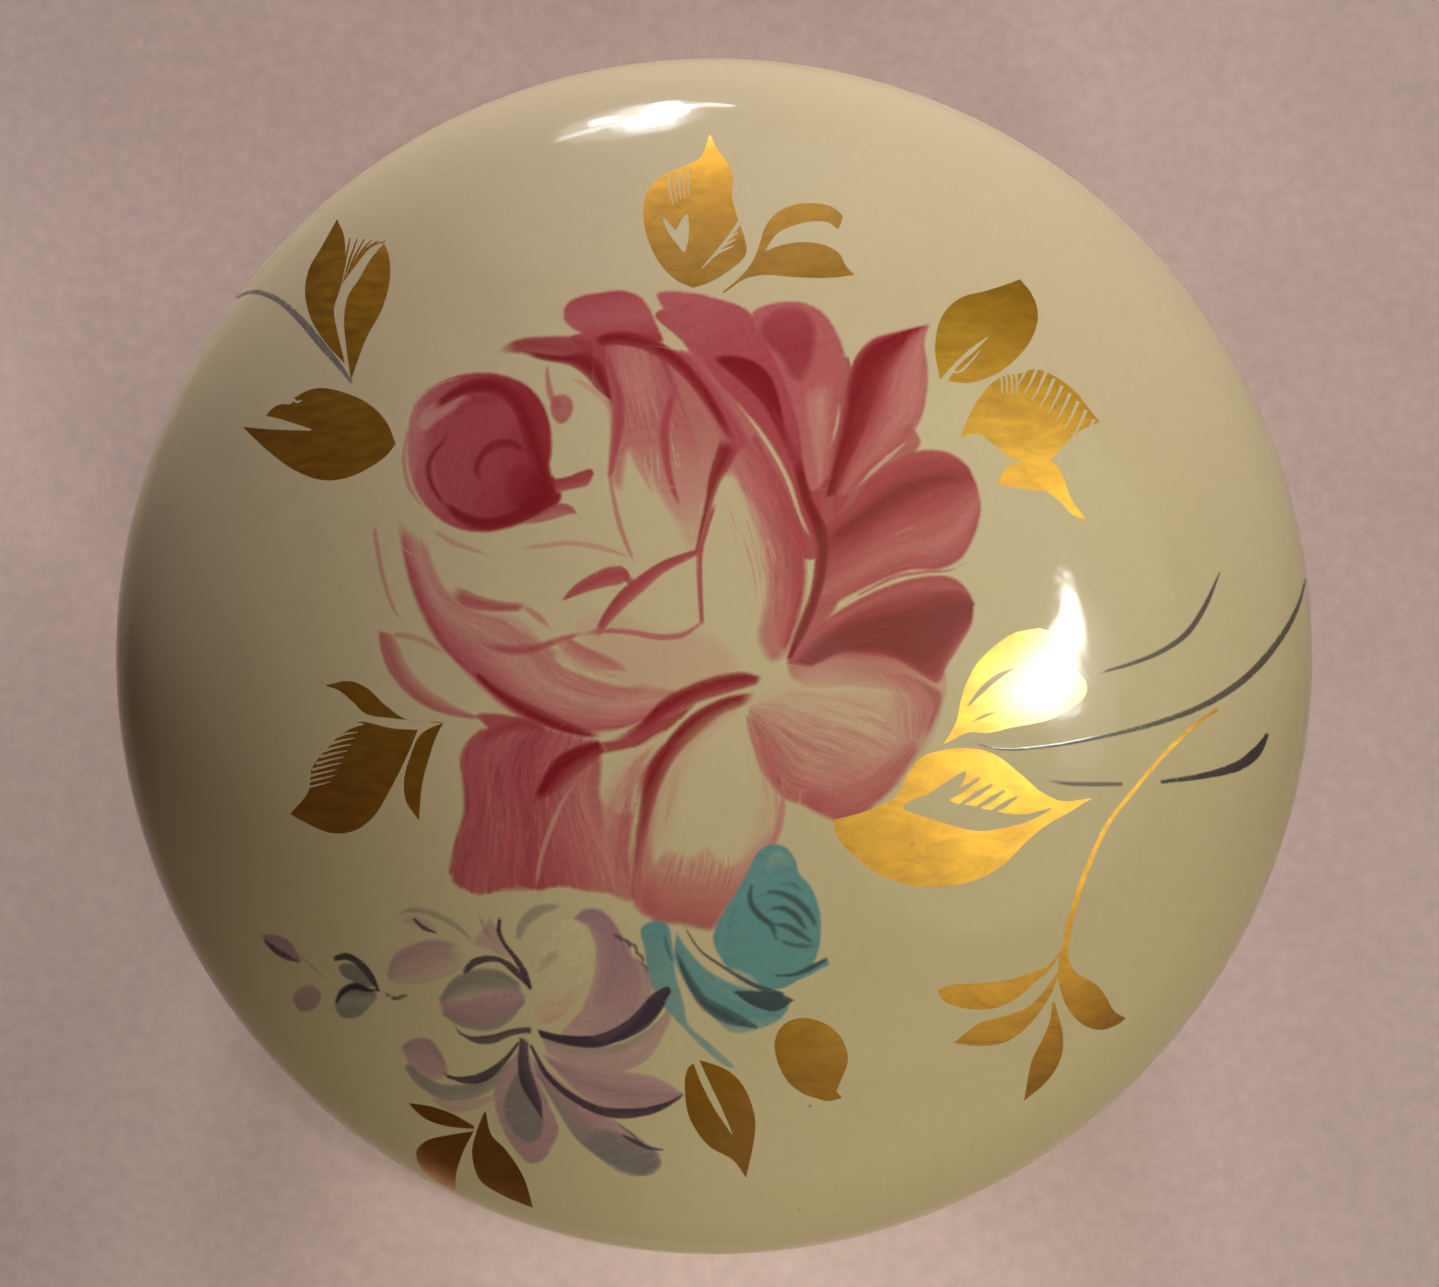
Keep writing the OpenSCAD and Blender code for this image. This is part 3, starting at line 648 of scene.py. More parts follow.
rb([(676, 946), (690, 972), (708, 996), (730, 1008), (760, 1026)], [(673, 950), (684, 982), (700, 1008), (724, 1024), (758, 1030)], [(0, "N", 0.55), (0.6, "N", 0.95), (1, "N", 0.6)],
   e=2.5, f=(0.15, 0.02), s=0.9)
ln([(772, 976), (796, 974), (814, 966), (828, 958)], (3, 5, 7, 5), [(0, "N", 0.9)], e=2)
ln([(664, 934), (668, 950), (672, 962)], (3, 6, 3), [(0, "N", 0.5)], e=2)

# ---- lilac flower
rb([(386, 975), (392, 956), (410, 944), (436, 938), (462, 944)], [(388, 982), (408, 986), (430, 984), (450, 976), (470, 964)], [(0, "V", 0.8), (0.6, "v", 0.8), (1, "v", 0.4)],
   e=3, s=0.8, f=(0, 0.2))
ln([(394, 916), (412, 910), (434, 914), (456, 926), (476, 944)], (4, 8, 8, 7, 3), [(0, "G", 0.55)], e=2.5, f=(0.15, 0.15))
ln([(400, 920), (420, 922), (440, 934)], (8, 14, 6), [(0, "v", 0.6)], e=4, f=(0.2, 0.2))
ln([(413, 918), (424, 928), (437, 933)], (4, 6, 3), [(0, "K", 0.85)], e=1.5)
rb([(473, 906), (484, 920), (494, 942), (500, 956)], [(482, 930), (490, 942), (496, 952), (500, 956)], [(0, "V", 0.7), (1, "V", 0.9)], e=3, f=(0.1, 0))
rb([(490, 916), (500, 930), (508, 945), (516, 958)], [(470, 945), (486, 950), (500, 956), (514, 960)], [(0, "V", 0.6), (1, "v", 0.6)], e=3)
ln([(500, 917), (499, 932), (506, 946), (514, 956), (524, 972), (531, 990)], (5, 6, 5, 7, 8, 5), [(0, "K", 0.95)], e=1.6)
ln([(518, 942), (522, 926), (536, 912), (552, 907), (566, 905)], (7, 12, 14, 10, 3), [(0, "G", 0.7), (1, "G", 0.5)], e=3, f=(0.1, 0.2))
bl([(538, 958), (544, 936), (556, 922), (572, 918), (586, 930), (590, 952), (586, 980), (574, 1006), (556, 1022), (540, 1024), (531, 1006), (532, 980)],
   [(0, "W", 1), (0.7, "W", 1), (1, "L", 0.7)], (0.4, 1), e=4, s=0.5)
rb([(540, 960), (552, 950), (562, 952)], [(534, 976), (548, 968), (560, 960)], [(0, "G", 0.45), (1, "G", 0.3)], e=3, f=(0.1, 0.3))
rb([(572, 918), (584, 908), (600, 908), (614, 920), (626, 940), (636, 962), (642, 980), (640, 1000)], [(588, 928), (594, 945), (594, 965), (588, 990), (578, 1012), (560, 1034), (580, 1040), (604, 1034)],
   [(0, "V", 1), (0.35, "V", 0.95), (0.7, "v", 0.95), (1, "v", 0.7)], cap=[(630, 1020)], e=3, s=0.8)
for k, (x0, y0, x1, y1) in enumerate([(612, 934, 622, 944), (622, 938, 630, 950), (630, 942, 636, 956), (636, 952, 643, 964), (640, 962, 646, 976)]):
    ln([(x0, y0), ((x0 + x1) / 2 + 3, (y0 + y1) / 2 - 1), (x1, y1)], (3, 6, 2), [(0, "K", 0.85)], e=1.4)
rb([(438, 998), (452, 978), (476, 968), (502, 970), (520, 982)], [(440, 1006), (462, 1000), (486, 996), (508, 996), (524, 996)], [(0, "G", 0.9), (0.6, "G", 0.8), (1, "v", 0.6)], e=3, s=0.6)
rb([(438, 1000), (462, 998), (488, 992), (512, 990), (526, 994)], [(442, 1016), (462, 1028), (488, 1032), (508, 1024), (526, 1004)], [(0, "v", 0.95), (0.6, "V", 0.95), (1, "G", 0.8)],
   e=3, s=0.7)
rb([(460, 972), (472, 958), (494, 955), (514, 964), (534, 990)], [(464, 976), (480, 965), (498, 963), (512, 974), (530, 990)], [(0, "K", 0.9), (1, "K", 0.95)], e=1.8, f=(0.06, 0))
rb([(452, 1022), (466, 1034), (490, 1034), (512, 1028), (532, 1026)], [(458, 1034), (476, 1044), (494, 1044), (514, 1036), (532, 1034)], [(0, "K", 0.95), (1, "K", 0.8)], e=1.8)
rb([(400, 1046), (412, 1038), (430, 1038), (442, 1052), (448, 1066)], [(404, 1056), (412, 1070), (424, 1080), (440, 1080), (450, 1072)], [(0, "V", 0.95), (1, "v", 0.8)], e=3, s=0.6)
ln([(406, 1064), (420, 1080), (444, 1092), (474, 1090), (500, 1076), (520, 1054)], (8, 14, 18, 18, 14, 5), [(0, "G", 0.85), (1, "G", 0.7)], e=3, s=0.6)
rb([(442, 1072), (458, 1076), (480, 1072), (502, 1058), (518, 1040)], [(446, 1078), (464, 1084), (486, 1082), (506, 1064), (520, 1044)], [(0, "K", 0.95), (1, "K", 0.9)], e=1.6)
ln([(432, 1098), (452, 1106), (474, 1104), (496, 1096)], (6, 14, 13, 6), [(0, "v", 0.7)], e=3)
bl([(524, 1046), (508, 1064), (494, 1086), (494, 1106), (502, 1130), (514, 1150), (528, 1164), (542, 1162), (554, 1146), (560, 1130), (552, 1108), (540, 1080)],
   [(0, "v", 0.95), (1, "V", 0.9)], e=3, s=0.6)
bl([(522, 1066), (508, 1086), (502, 1108), (512, 1132), (528, 1144), (542, 1136), (544, 1116), (536, 1090)], [(0, "G", 0.9), (1, "G", 0.9)], (0.2, 1), e=4, s=0.8)
rb([(519, 1036), (517, 1062), (520, 1084), (530, 1102), (542, 1120)], [(529, 1040), (530, 1062), (536, 1082), (542, 1100), (543, 1120)], [(0, "K", 0.95), (1, "K", 0.8)], e=1.8, s=0.5)
rb([(530, 1054), (556, 1076), (590, 1102), (625, 1126), (660, 1152)], [(536, 1076), (556, 1110), (576, 1140), (604, 1162), (636, 1176)], [(0, "v", 0.95), (0.4, "V", 0.9), (1, "G", 0.9)],
   cap=[(662, 1166), (650, 1176)], e=3, s=0.8)
bl([(596, 1128), (620, 1132), (650, 1146), (662, 1160), (650, 1174), (626, 1176), (600, 1160), (586, 1142)], [(0, "G", 0.8), (1, "G", 0.95)], (0.3, 1), e=6, s=0.9)
rb([(540, 1052), (580, 1066), (620, 1070), (655, 1076), (684, 1092)], [(548, 1064), (580, 1096), (612, 1112), (650, 1114), (682, 1100)], [(0, "v", 0.9), (0.5, "V", 0.95), (1, "v", 0.95)],
   e=3, s=0.7)
ln([(530, 1044), (548, 1076), (574, 1098), (606, 1112), (642, 1112), (668, 1104), (684, 1094)], (4, 7, 8, 10, 12, 9, 3), [(0, "K", 0.95)], e=1.8)
rb([(540, 1036), (580, 1046), (620, 1042), (650, 1026), (668, 1008)], [(546, 1054), (580, 1070), (618, 1074), (650, 1058), (668, 1030)], [(0, "G", 0.7), (0.4, "v", 0.9), (1, "v", 0.9)],
   cap=[(672, 1018)], e=3, s=0.7)
rb([(536, 1028), (562, 1034), (596, 1034), (626, 1020), (648, 996), (664, 986)], [(540, 1038), (566, 1046), (600, 1048), (634, 1034), (658, 1014), (672, 992)],
   [(0, "K", 0.95), (1, "K", 1)], e=2, cap=[(670, 986)])
ln([(622, 1135), (636, 1142), (650, 1148), (664, 1150)], (3, 6, 5, 3), [(0, "K", 0.85)], e=1.5)
ln([(618, 1124), (632, 1134), (644, 1146)], (2, 4, 2), [(0, "K", 0.6)], e=1.5)
bl([(586, 1034), (606, 1000), (622, 962), (638, 956), (654, 984), (644, 1012), (622, 1034), (600, 1044)], [(0, "V", 0.8), (1, "v", 0.85)], (0, 1), e=4, s=0.4)
rb([(540, 1036), (580, 1046), (620, 1042), (650, 1026), (668, 1002)], [(536, 1030), (562, 1034), (596, 1034), (626, 1020), (650, 996)], [(0, "K", 0.9), (1, "K", 0.9)], e=1.6)
# far-left buds
rb([(260, 934), (276, 934), (292, 942), (302, 960)], [(264, 942), (274, 954), (288, 962), (302, 962)], [(0, "V", 0.9), (1, "V", 0.8)], e=2.5)
ln([(264, 940), (276, 950), (290, 958), (300, 962)], (4, 8, 7, 3), [(0, "K", 0.85)], e=2)
ln([(300, 956), (314, 968), (324, 978)], (2, 3, 2), [(0, "V", 0.7)], e=1.2)
bl([(292, 998), (298, 988), (310, 984), (320, 990), (322, 1000), (314, 1010), (300, 1012)], [(0, "V", 0.7), (1, "V", 0.9)], e=3)
bl([(334, 1000), (342, 988), (356, 982), (370, 988), (378, 996), (370, 1008), (358, 1018), (342, 1018), (335, 1010)], [(0, "N", 0.95), (0.5, "g", 0.9), (1, "N", 0.6)], e=2.5, s=0.6)
bl([(338, 966), (350, 962), (364, 972), (376, 986), (368, 988), (352, 982), (342, 976)], [(0, "G", 0.9), (1, "N", 0.7)], e=2)
rb([(332, 956), (346, 952), (362, 960), (374, 974), (381, 992)], [(334, 962), (348, 961), (360, 970), (370, 982), (378, 992)], [(0, "B", 0.95), (1, "B", 0.9)], e=1.6)
ln([(336, 1004), (342, 992), (354, 986), (368, 990), (380, 990)], (4, 8, 9, 6, 4), [(0, "B", 0.9)], e=2)
ln([(384, 992), (394, 998), (408, 995)], (3, 6, 4), [(0, "B", 0.9)], e=1.4)

# ---- grey stems
ln([(236, 298), (246, 293), (258, 292), (278, 300), (300, 319), (322, 345), (342, 369), (352, 383)], (3, 6, 7, 8, 9, 9, 7, 4), [(0, "S", 0.9), (0.5, "G", 0.9), (1, "S", 0.95)], e=1.6)
ln([(1095, 674), (1130, 664), (1160, 652), (1186, 634), (1204, 608), (1220, 572)], (3, 5, 6, 7, 6, 2.5), [(0, "S", 0.95)], e=1.4, f=(0.08, 0))
ln([(966, 740), (1000, 749), (1050, 746), (1100, 737), (1160, 722), (1210, 702), (1250, 674), (1282, 636), (1298, 606), (1306, 578)], (2, 3.5, 4, 5, 6, 7, 8, 8, 6, 2.5),
   [(0, "B", 0.85)], e=1.4, f=(0.05, 0))
ln([(1040, 779), (1066, 783), (1096, 784), (1124, 784)], (2, 6, 6, 5), [(0, "S", 0.85)], e=1.6, f=(0.3, 0.02))
ln([(1160, 782), (1190, 778), (1220, 772), (1242, 764), (1258, 750), (1268, 733)], (5, 6, 8, 11, 12, 4), [(0, "B", 0.95)], e=1.4)

# ---- gold leaves
gold([(693, 288), (676, 280), (660, 264), (648, 240), (643, 214), (648, 190), (664, 175), (684, 166), (700, 158), (706, 146), (710, 134)],
     [(693, 288), (708, 283), (730, 270), (746, 254), (744, 236), (737, 216), (732, 196), (733, 178), (726, 160), (717, 148), (710, 134)])
bare_bl([(663, 217), (668, 222), (676, 230), (680, 222), (687, 214), (689, 226), (688, 240), (684, 252), (677, 244), (668, 232)])
for k in range(7):
    bare([(702 + 5 * k, 268 - 5.5 * k), (716 + 4 * k, 254 - 5.5 * k), (733 + 2.2 * k, 246 - 7 * k)], (0.8, 2.6, 1.6))
for k in range(5):
    bare([(668 + 5 * k, 176 - 2 * k), (670 + 4.6 * k, 190 - 2 * k), (673 + 4 * k, 204 - 2 * k)], (1.4, 1.8, 0.8))
gold([(724, 292), (741, 276), (752, 262), (760, 243), (764, 229), (775, 214), (793, 205), (815, 203), (833, 207), (843, 216)],
     [(724, 292), (745, 276), (760, 262), (768, 246), (778, 233), (796, 225), (815, 221), (830, 223), (838, 229), (843, 216)])
gold([(722, 292), (742, 276), (758, 256), (778, 246), (803, 242), (825, 245), (840, 254), (846, 266), (855, 275)],
     [(724, 293), (745, 279), (763, 275), (793, 277), (822, 278), (840, 277), (855, 275)])
gold([(940, 379), (935, 349), (942, 316), (960, 298), (985, 291), (1007, 284), (1020, 279)],
     [(940, 379), (967, 383), (992, 376), (1015, 360), (1032, 338), (1038, 316), (1033, 296), (1020, 279)])
bare([(943, 382), (955, 366), (970, 352), (988, 337)], (7, 4, 5, 1))
bare([(950, 370), (958, 372), (972, 360), (980, 350)], (1, 2.5, 2, 0.8))
gold([(960, 438), (970, 414), (985, 390), (1003, 376), (1018, 374), (1036, 369), (1058, 378), (1076, 392), (1087, 406), (1100, 422)],
     [(960, 438), (978, 434), (993, 444), (1011, 458), (1032, 464), (1052, 458), (1065, 444), (1080, 431), (1100, 422)])
for k in range(9):
    x, y = 1026 + 8 * k, 368 + 5.4 * k + 0.25 * k * k
    bare([(x + 4, y - 8), (x - 3, y + 8), (x - 10, y + 20)], (3.4, 2.2, 0.7))
for k in range(4):
    bare([(1000 + 5 * k, 372 - 1 * k), (1002 + 5 * k, 384 - k), (1002 + 5 * k, 394)], (2.4, 1.8, 0.8))
gold([(996, 484), (1010, 465), (1032, 462), (1050, 460)], [(996, 484), (1018, 488), (1043, 490), (1058, 484)], cap=[(1060, 470)])
gold([(1040, 462), (1052, 461), (1063, 476), (1071, 498), (1087, 520)], [(1026, 486), (1044, 490), (1058, 500), (1072, 514), (1087, 520)])
gold([(345, 364), (326, 343), (311, 319), (305, 292), (309, 269), (322, 246), (337, 219)],
     [(345, 364), (337, 330), (334, 309), (340, 289), (345, 262), (344, 236), (337, 219)])
gold([(351, 380), (346, 345), (344, 319), (348, 296), (359, 279), (370, 260), (384, 243)],
     [(351, 380), (366, 339), (382, 309), (390, 279), (389, 256), (384, 243)])
for k in range(6):
    gold_ln([(341 + 2 * k, 286 - 3 * k), (345 + 5 * k, 262 - 3 * k), (350 + 7.2 * k, 238 + 0.6 * k)], (0.8, 2.4, 1.2))
gold([(396, 444), (386, 421), (369, 404), (346, 393), (322, 388), (306, 391), (294, 398), (274, 407), (264, 418)],
     [(396, 444), (386, 456), (369, 468), (346, 478), (322, 480), (296, 471), (273, 455), (256, 440), (243, 427)])
bare_bl([(236, 423), (256, 415), (272, 417), (290, 422), (312, 430), (290, 430), (266, 429), (244, 427), (236, 427)])
bare_bl([(262, 398), (270, 407), (282, 404), (291, 404), (294, 396), (284, 390)])
bare([(290, 396), (297, 402), (302, 400)], (4, 3, 0.8))
gold([(326, 685), (350, 681), (367, 688), (384, 704), (406, 719), (441, 722)], [(326, 686), (338, 690), (352, 701), (366, 714), (390, 718), (441, 723)])
gold([(418, 730), (390, 728), (358, 722), (340, 735), (326, 750), (312, 768), (308, 792), (290, 814)],
     [(418, 730), (406, 758), (390, 790), (374, 816), (354, 831), (331, 833), (308, 824), (290, 814)])
bare_bl([(336, 722), (352, 722), (364, 724), (352, 728), (338, 736), (326, 742)])
for k in range(9):
    bare([(333 - 4.2 * k, 738 + 6.4 * k), (345 - 3.6 * k, 734 + 6.4 * k), (358 - 3.4 * k, 732 + 6.2 * k)], (3, 2, 0.7))
gold([(444, 722), (421, 734), (410, 757), (404, 781), (406, 801), (419, 821)], [(444, 722), (437, 735), (429, 758), (422, 785), (420, 805), (419, 821)])
gold([(944, 744), (956, 722), (962, 696), (974, 668), (992, 648), (1015, 633), (1040, 628)],
     [(944, 744), (970, 732), (987, 733), (1014, 727), (1048, 720), (1070, 709), (1084, 697), (1087, 686), (1070, 662)], cap=[(1055, 634), (1068, 648)])
bare([(968, 706), (980, 692), (996, 678), (1016, 667)], (2, 6, 6, 1))
bare([(972, 722), (984, 716), (996, 712)], (1, 3, 1))
gold([(833, 820), (866, 811), (896, 796), (908, 773), (922, 757), (944, 750), (970, 748), (996, 755), (1018, 772), (1043, 793), (1062, 801), (1092, 798)],
     [(833, 821), (838, 838), (853, 855), (878, 874), (908, 885), (944, 887), (978, 879), (1004, 864), (1026, 842), (1048, 824), (1066, 814), (1092, 798)])
bare_bl([(903, 808), (912, 800), (928, 794), (946, 782), (966, 771), (962, 784), (950, 800), (974, 806), (1000, 812), (1024, 814), (1052, 808), (1032, 820), (1008, 827), (978, 831),
         (944, 823), (922, 816)])
for k in range(4):
    bare([(946 + 15 * k, 800 + 4 * k), (962 + 14 * k, 790 + 5 * k), (980 + 12.5 * k, 778 + 6.2 * k)], (3, 6, 2.4))
gold_ln([(1218, 709), (1195, 725), (1160, 759), (1134, 790), (1108, 824), (1091, 859), (1074, 907), (1067, 937), (1062, 966)], (3.4, 3.6, 4, 4, 4.4, 5, 5.4, 6, 7))
gold([(1060, 950), (1058, 978), (1067, 1007), (1082, 1024), (1100, 1030), (1117, 1025), (1126, 1018)], [(1066, 946), (1074, 970), (1098, 986), (1108, 1000), (1114, 1011), (1126, 1018)])
gold([(1064, 946), (1048, 966), (1030, 973), (1008, 980), (982, 983), (952, 985), (937, 990)], [(1062, 952), (1048, 972), (1035, 982), (1017, 998), (996, 1008), (970, 1009), (944, 1001), (937, 990)])
gold([(1062, 966), (1043, 992), (1026, 1008), (1000, 1017), (978, 1024), (953, 1043)], [(1060, 972), (1050, 996), (1030, 1024), (1008, 1041), (982, 1046), (953, 1043)])
gold([(1052, 1002), (1050, 1020), (1043, 1038), (1032, 1060), (1024, 1101)], [(1055, 1002), (1063, 1037), (1061, 1058), (1048, 1080), (1024, 1101)])
gold([(746, 1178), (733, 1160), (709, 1146), (690, 1119), (685, 1093), (688, 1068), (700, 1060)], [(746, 1178), (753, 1146), (755, 1119), (744, 1087), (727, 1070), (700, 1060)])
bare([(694, 1055), (704, 1080), (718, 1108), (732, 1134)], (6, 8, 7, 1))
bl([(775, 1040), (783, 1025), (800, 1018), (822, 1022), (840, 1036), (848, 1058), (842, 1078), (832, 1096), (812, 1097), (790, 1084), (777, 1060)], "W", e=0, s=0, kind="gold")
gold([(800, 1090), (826, 1101), (842, 1098)], [(836, 1082), (836, 1090), (842, 1098)])
gold([(409, 1103), (430, 1106), (453, 1114), (474, 1126)], [(409, 1104), (424, 1118), (446, 1126), (474, 1129)])
gold([(474, 1131), (449, 1135), (426, 1141), (416, 1152), (422, 1169), (436, 1181), (455, 1191)], [(474, 1131), (464, 1150), (457, 1170), (455, 1191)])
gold([(484, 1112), (476, 1133), (472, 1153), (480, 1180), (504, 1196), (533, 1208)], [(486, 1112), (491, 1134), (506, 1150), (524, 1178), (533, 1208)])
# small pits and specks in the glaze
for x, y, r in ((810, 1106, 2.6), (799, 1210, 2.2), (262, 1003, 2.0), (882, 915, 1.4), (300, 620, 1.2), (1150, 420, 1.3), (520, 190, 1.2), (1010, 1140, 1.2), (1180, 900, 1.3), (560, 1225, 1.4)):
    bl([(x - r, y), (x, y - r), (x + r, y), (x, y + r)], [(0, "S", 0.75)], e=1.2, s=0)

# ---------------------------------------------------------------- from the design to the dome
# The dome's meridian, from the top centre over the widest line: tables of radius, height and slope against arc length.
_prof = [(0.0, WIDE_Z + DOME_H)]
_prof = [(LID_R * math.sin(t), WIDE_Z + DOME_H * math.cos(t)) for t in np.linspace(0, math.pi / 2, 1500)]
_prof += [(LID_R - EDGE_IN + EDGE_IN * math.cos(t), WIDE_Z - EDGE_H * math.sin(t)) for t in np.linspace(0, math.pi / 2, 400)[1:]]
_prof = np.array(_prof)
_arc = np.r_[0, np.cumsum(np.linalg.norm(np.diff(_prof, axis=0), axis=1))]
_tan = np.gradient(_prof, _arc, axis=0)
S_WIDE = float(_arc[1499])
S_EDGE = S_WIDE + 1.4                         # the painted net reaches a little past the widest line


def app_to_map(q):
    """Design points (as the camera sees them) to the dome's unrolled map, in mm."""
    q = np.atleast_2d(np.asarray(q, float))
    ax, ay = (q[:, 0] - 714) * U, (656 - q[:, 1]) * U
    x, y = ax.copy(), ay.copy()
    for _ in range(6):
        r = np.minimum(np.hypot(x, y), LID_R * 0.99995)
        dz = DOME_H * np.sqrt(1 - (r / LID_R) ** 2)
        k = 1 - dz / CAM_D
        x, y = CAM_X + (ax - CAM_X) * k, CAM_Y + (ay - CAM_Y) * k
    r = np.hypot(x, y)
    over = np.maximum(r - LID_R * 0.9995, 0)
    s = np.interp(np.minimum(r, LID_R * 0.9999), _prof[:1500, 0], _arc[:1500]) + over * 1.5
    th = np.arctan2(y, x)
    return np.c_[s * np.cos(th), s * np.sin(th)]


def map_to_dome(m):
    """Points of the map to (x, y, z) and the outward normal."""
    s = np.hypot(m[:, 0], m[:, 1])
    th = np.arctan2(m[:, 1], m[:, 0])
    r, z = np.interp(s, _arc, _prof[:, 0]), np.interp(s, _arc, _prof[:, 1])
    tr, tz = np.interp(s, _arc, _tan[:, 0]), np.interp(s, _arc, _tan[:, 1])
    n = np.c_[-tz * np.cos(th), -tz * np.sin(th), tr]
    n /= np.linalg.norm(n, axis=1)[:, None]
    return np.c_[r * np.cos(th), r * np.sin(th), z], n


def inside(poly, pts):
    """Even-odd test of points in a polygon."""
    x, y = pts[:, 0], pts[:, 1]
    res = np.zeros(len(pts), bool)
    x0, y0 = poly[:, 0], poly[:, 1]
    x1, y1 = np.roll(x0, -1), np.roll(y0, -1)
    for a, b, c, d in zip(x0, y0, x1, y1):
        if b == d:
            continue
        hit = ((b > y) != (d > y)) & (x < (c - a) * (y - b) / (d - b) + a)
        res ^= hit
    return res


def edge_distance(poly, pts):
    """Distance of points from a closed outline."""
    a = poly
    b = np.roll(poly, -1, axis=0)
    ab = b - a
    L2 = np.maximum((ab ** 2).sum(1), 1e-12)
    best = np.full(len(pts), 1e9)
    for i in range(0, len(pts), 4000):
        p = pts[i:i + 4000]
        t = np.clip(((p[:, None] - a[None]) * ab[None]).sum(2) / L2[None], 0, 1)
        d = np.linalg.norm(p[:, None] - (a[None] + t[..., None] * ab[None]), axis=2)
        best[i:i + 4000] = d.min(1)
    return best


def grid_uv(grid, pts):
    """(u, v) in 0..1 of points on a stroke's grid, with its size along and across."""
    nu, nv = grid.shape[:2]
    flat = grid.reshape(-1, 2)
    idx = np.empty(len(pts), int)
    for i in range(0, len(pts), 3000):
        d = ((pts[i:i + 3000, None] - flat[None]) ** 2).sum(2)
        idx[i:i + 3000] = d.argmin(1)
    iu, iv = idx // nv, idx % nv
    gu = np.gradient(grid, axis=0)[iu, iv]
    gv = np.gradient(grid, axis=1)[iu, iv]
    dp = pts - grid[iu, iv]
    det = gu[:, 0] * gv[:, 1] - gu[:, 1] * gv[:, 0]
    det = np.where(np.abs(det) < 1e-6, 1e-6, det)
    du = np.clip((dp[:, 0] * gv[:, 1] - dp[:, 1] * gv[:, 0]) / det, -0.7, 0.7)
    dv = np.clip((gu[:, 0] * dp[:, 1] - gu[:, 1] * dp[:, 0]) / det, -0.7, 0.7)
    return np.clip((iu + du) / (nu - 1), 0, 1), np.clip((iv + dv) / (nv - 1), 0, 1)


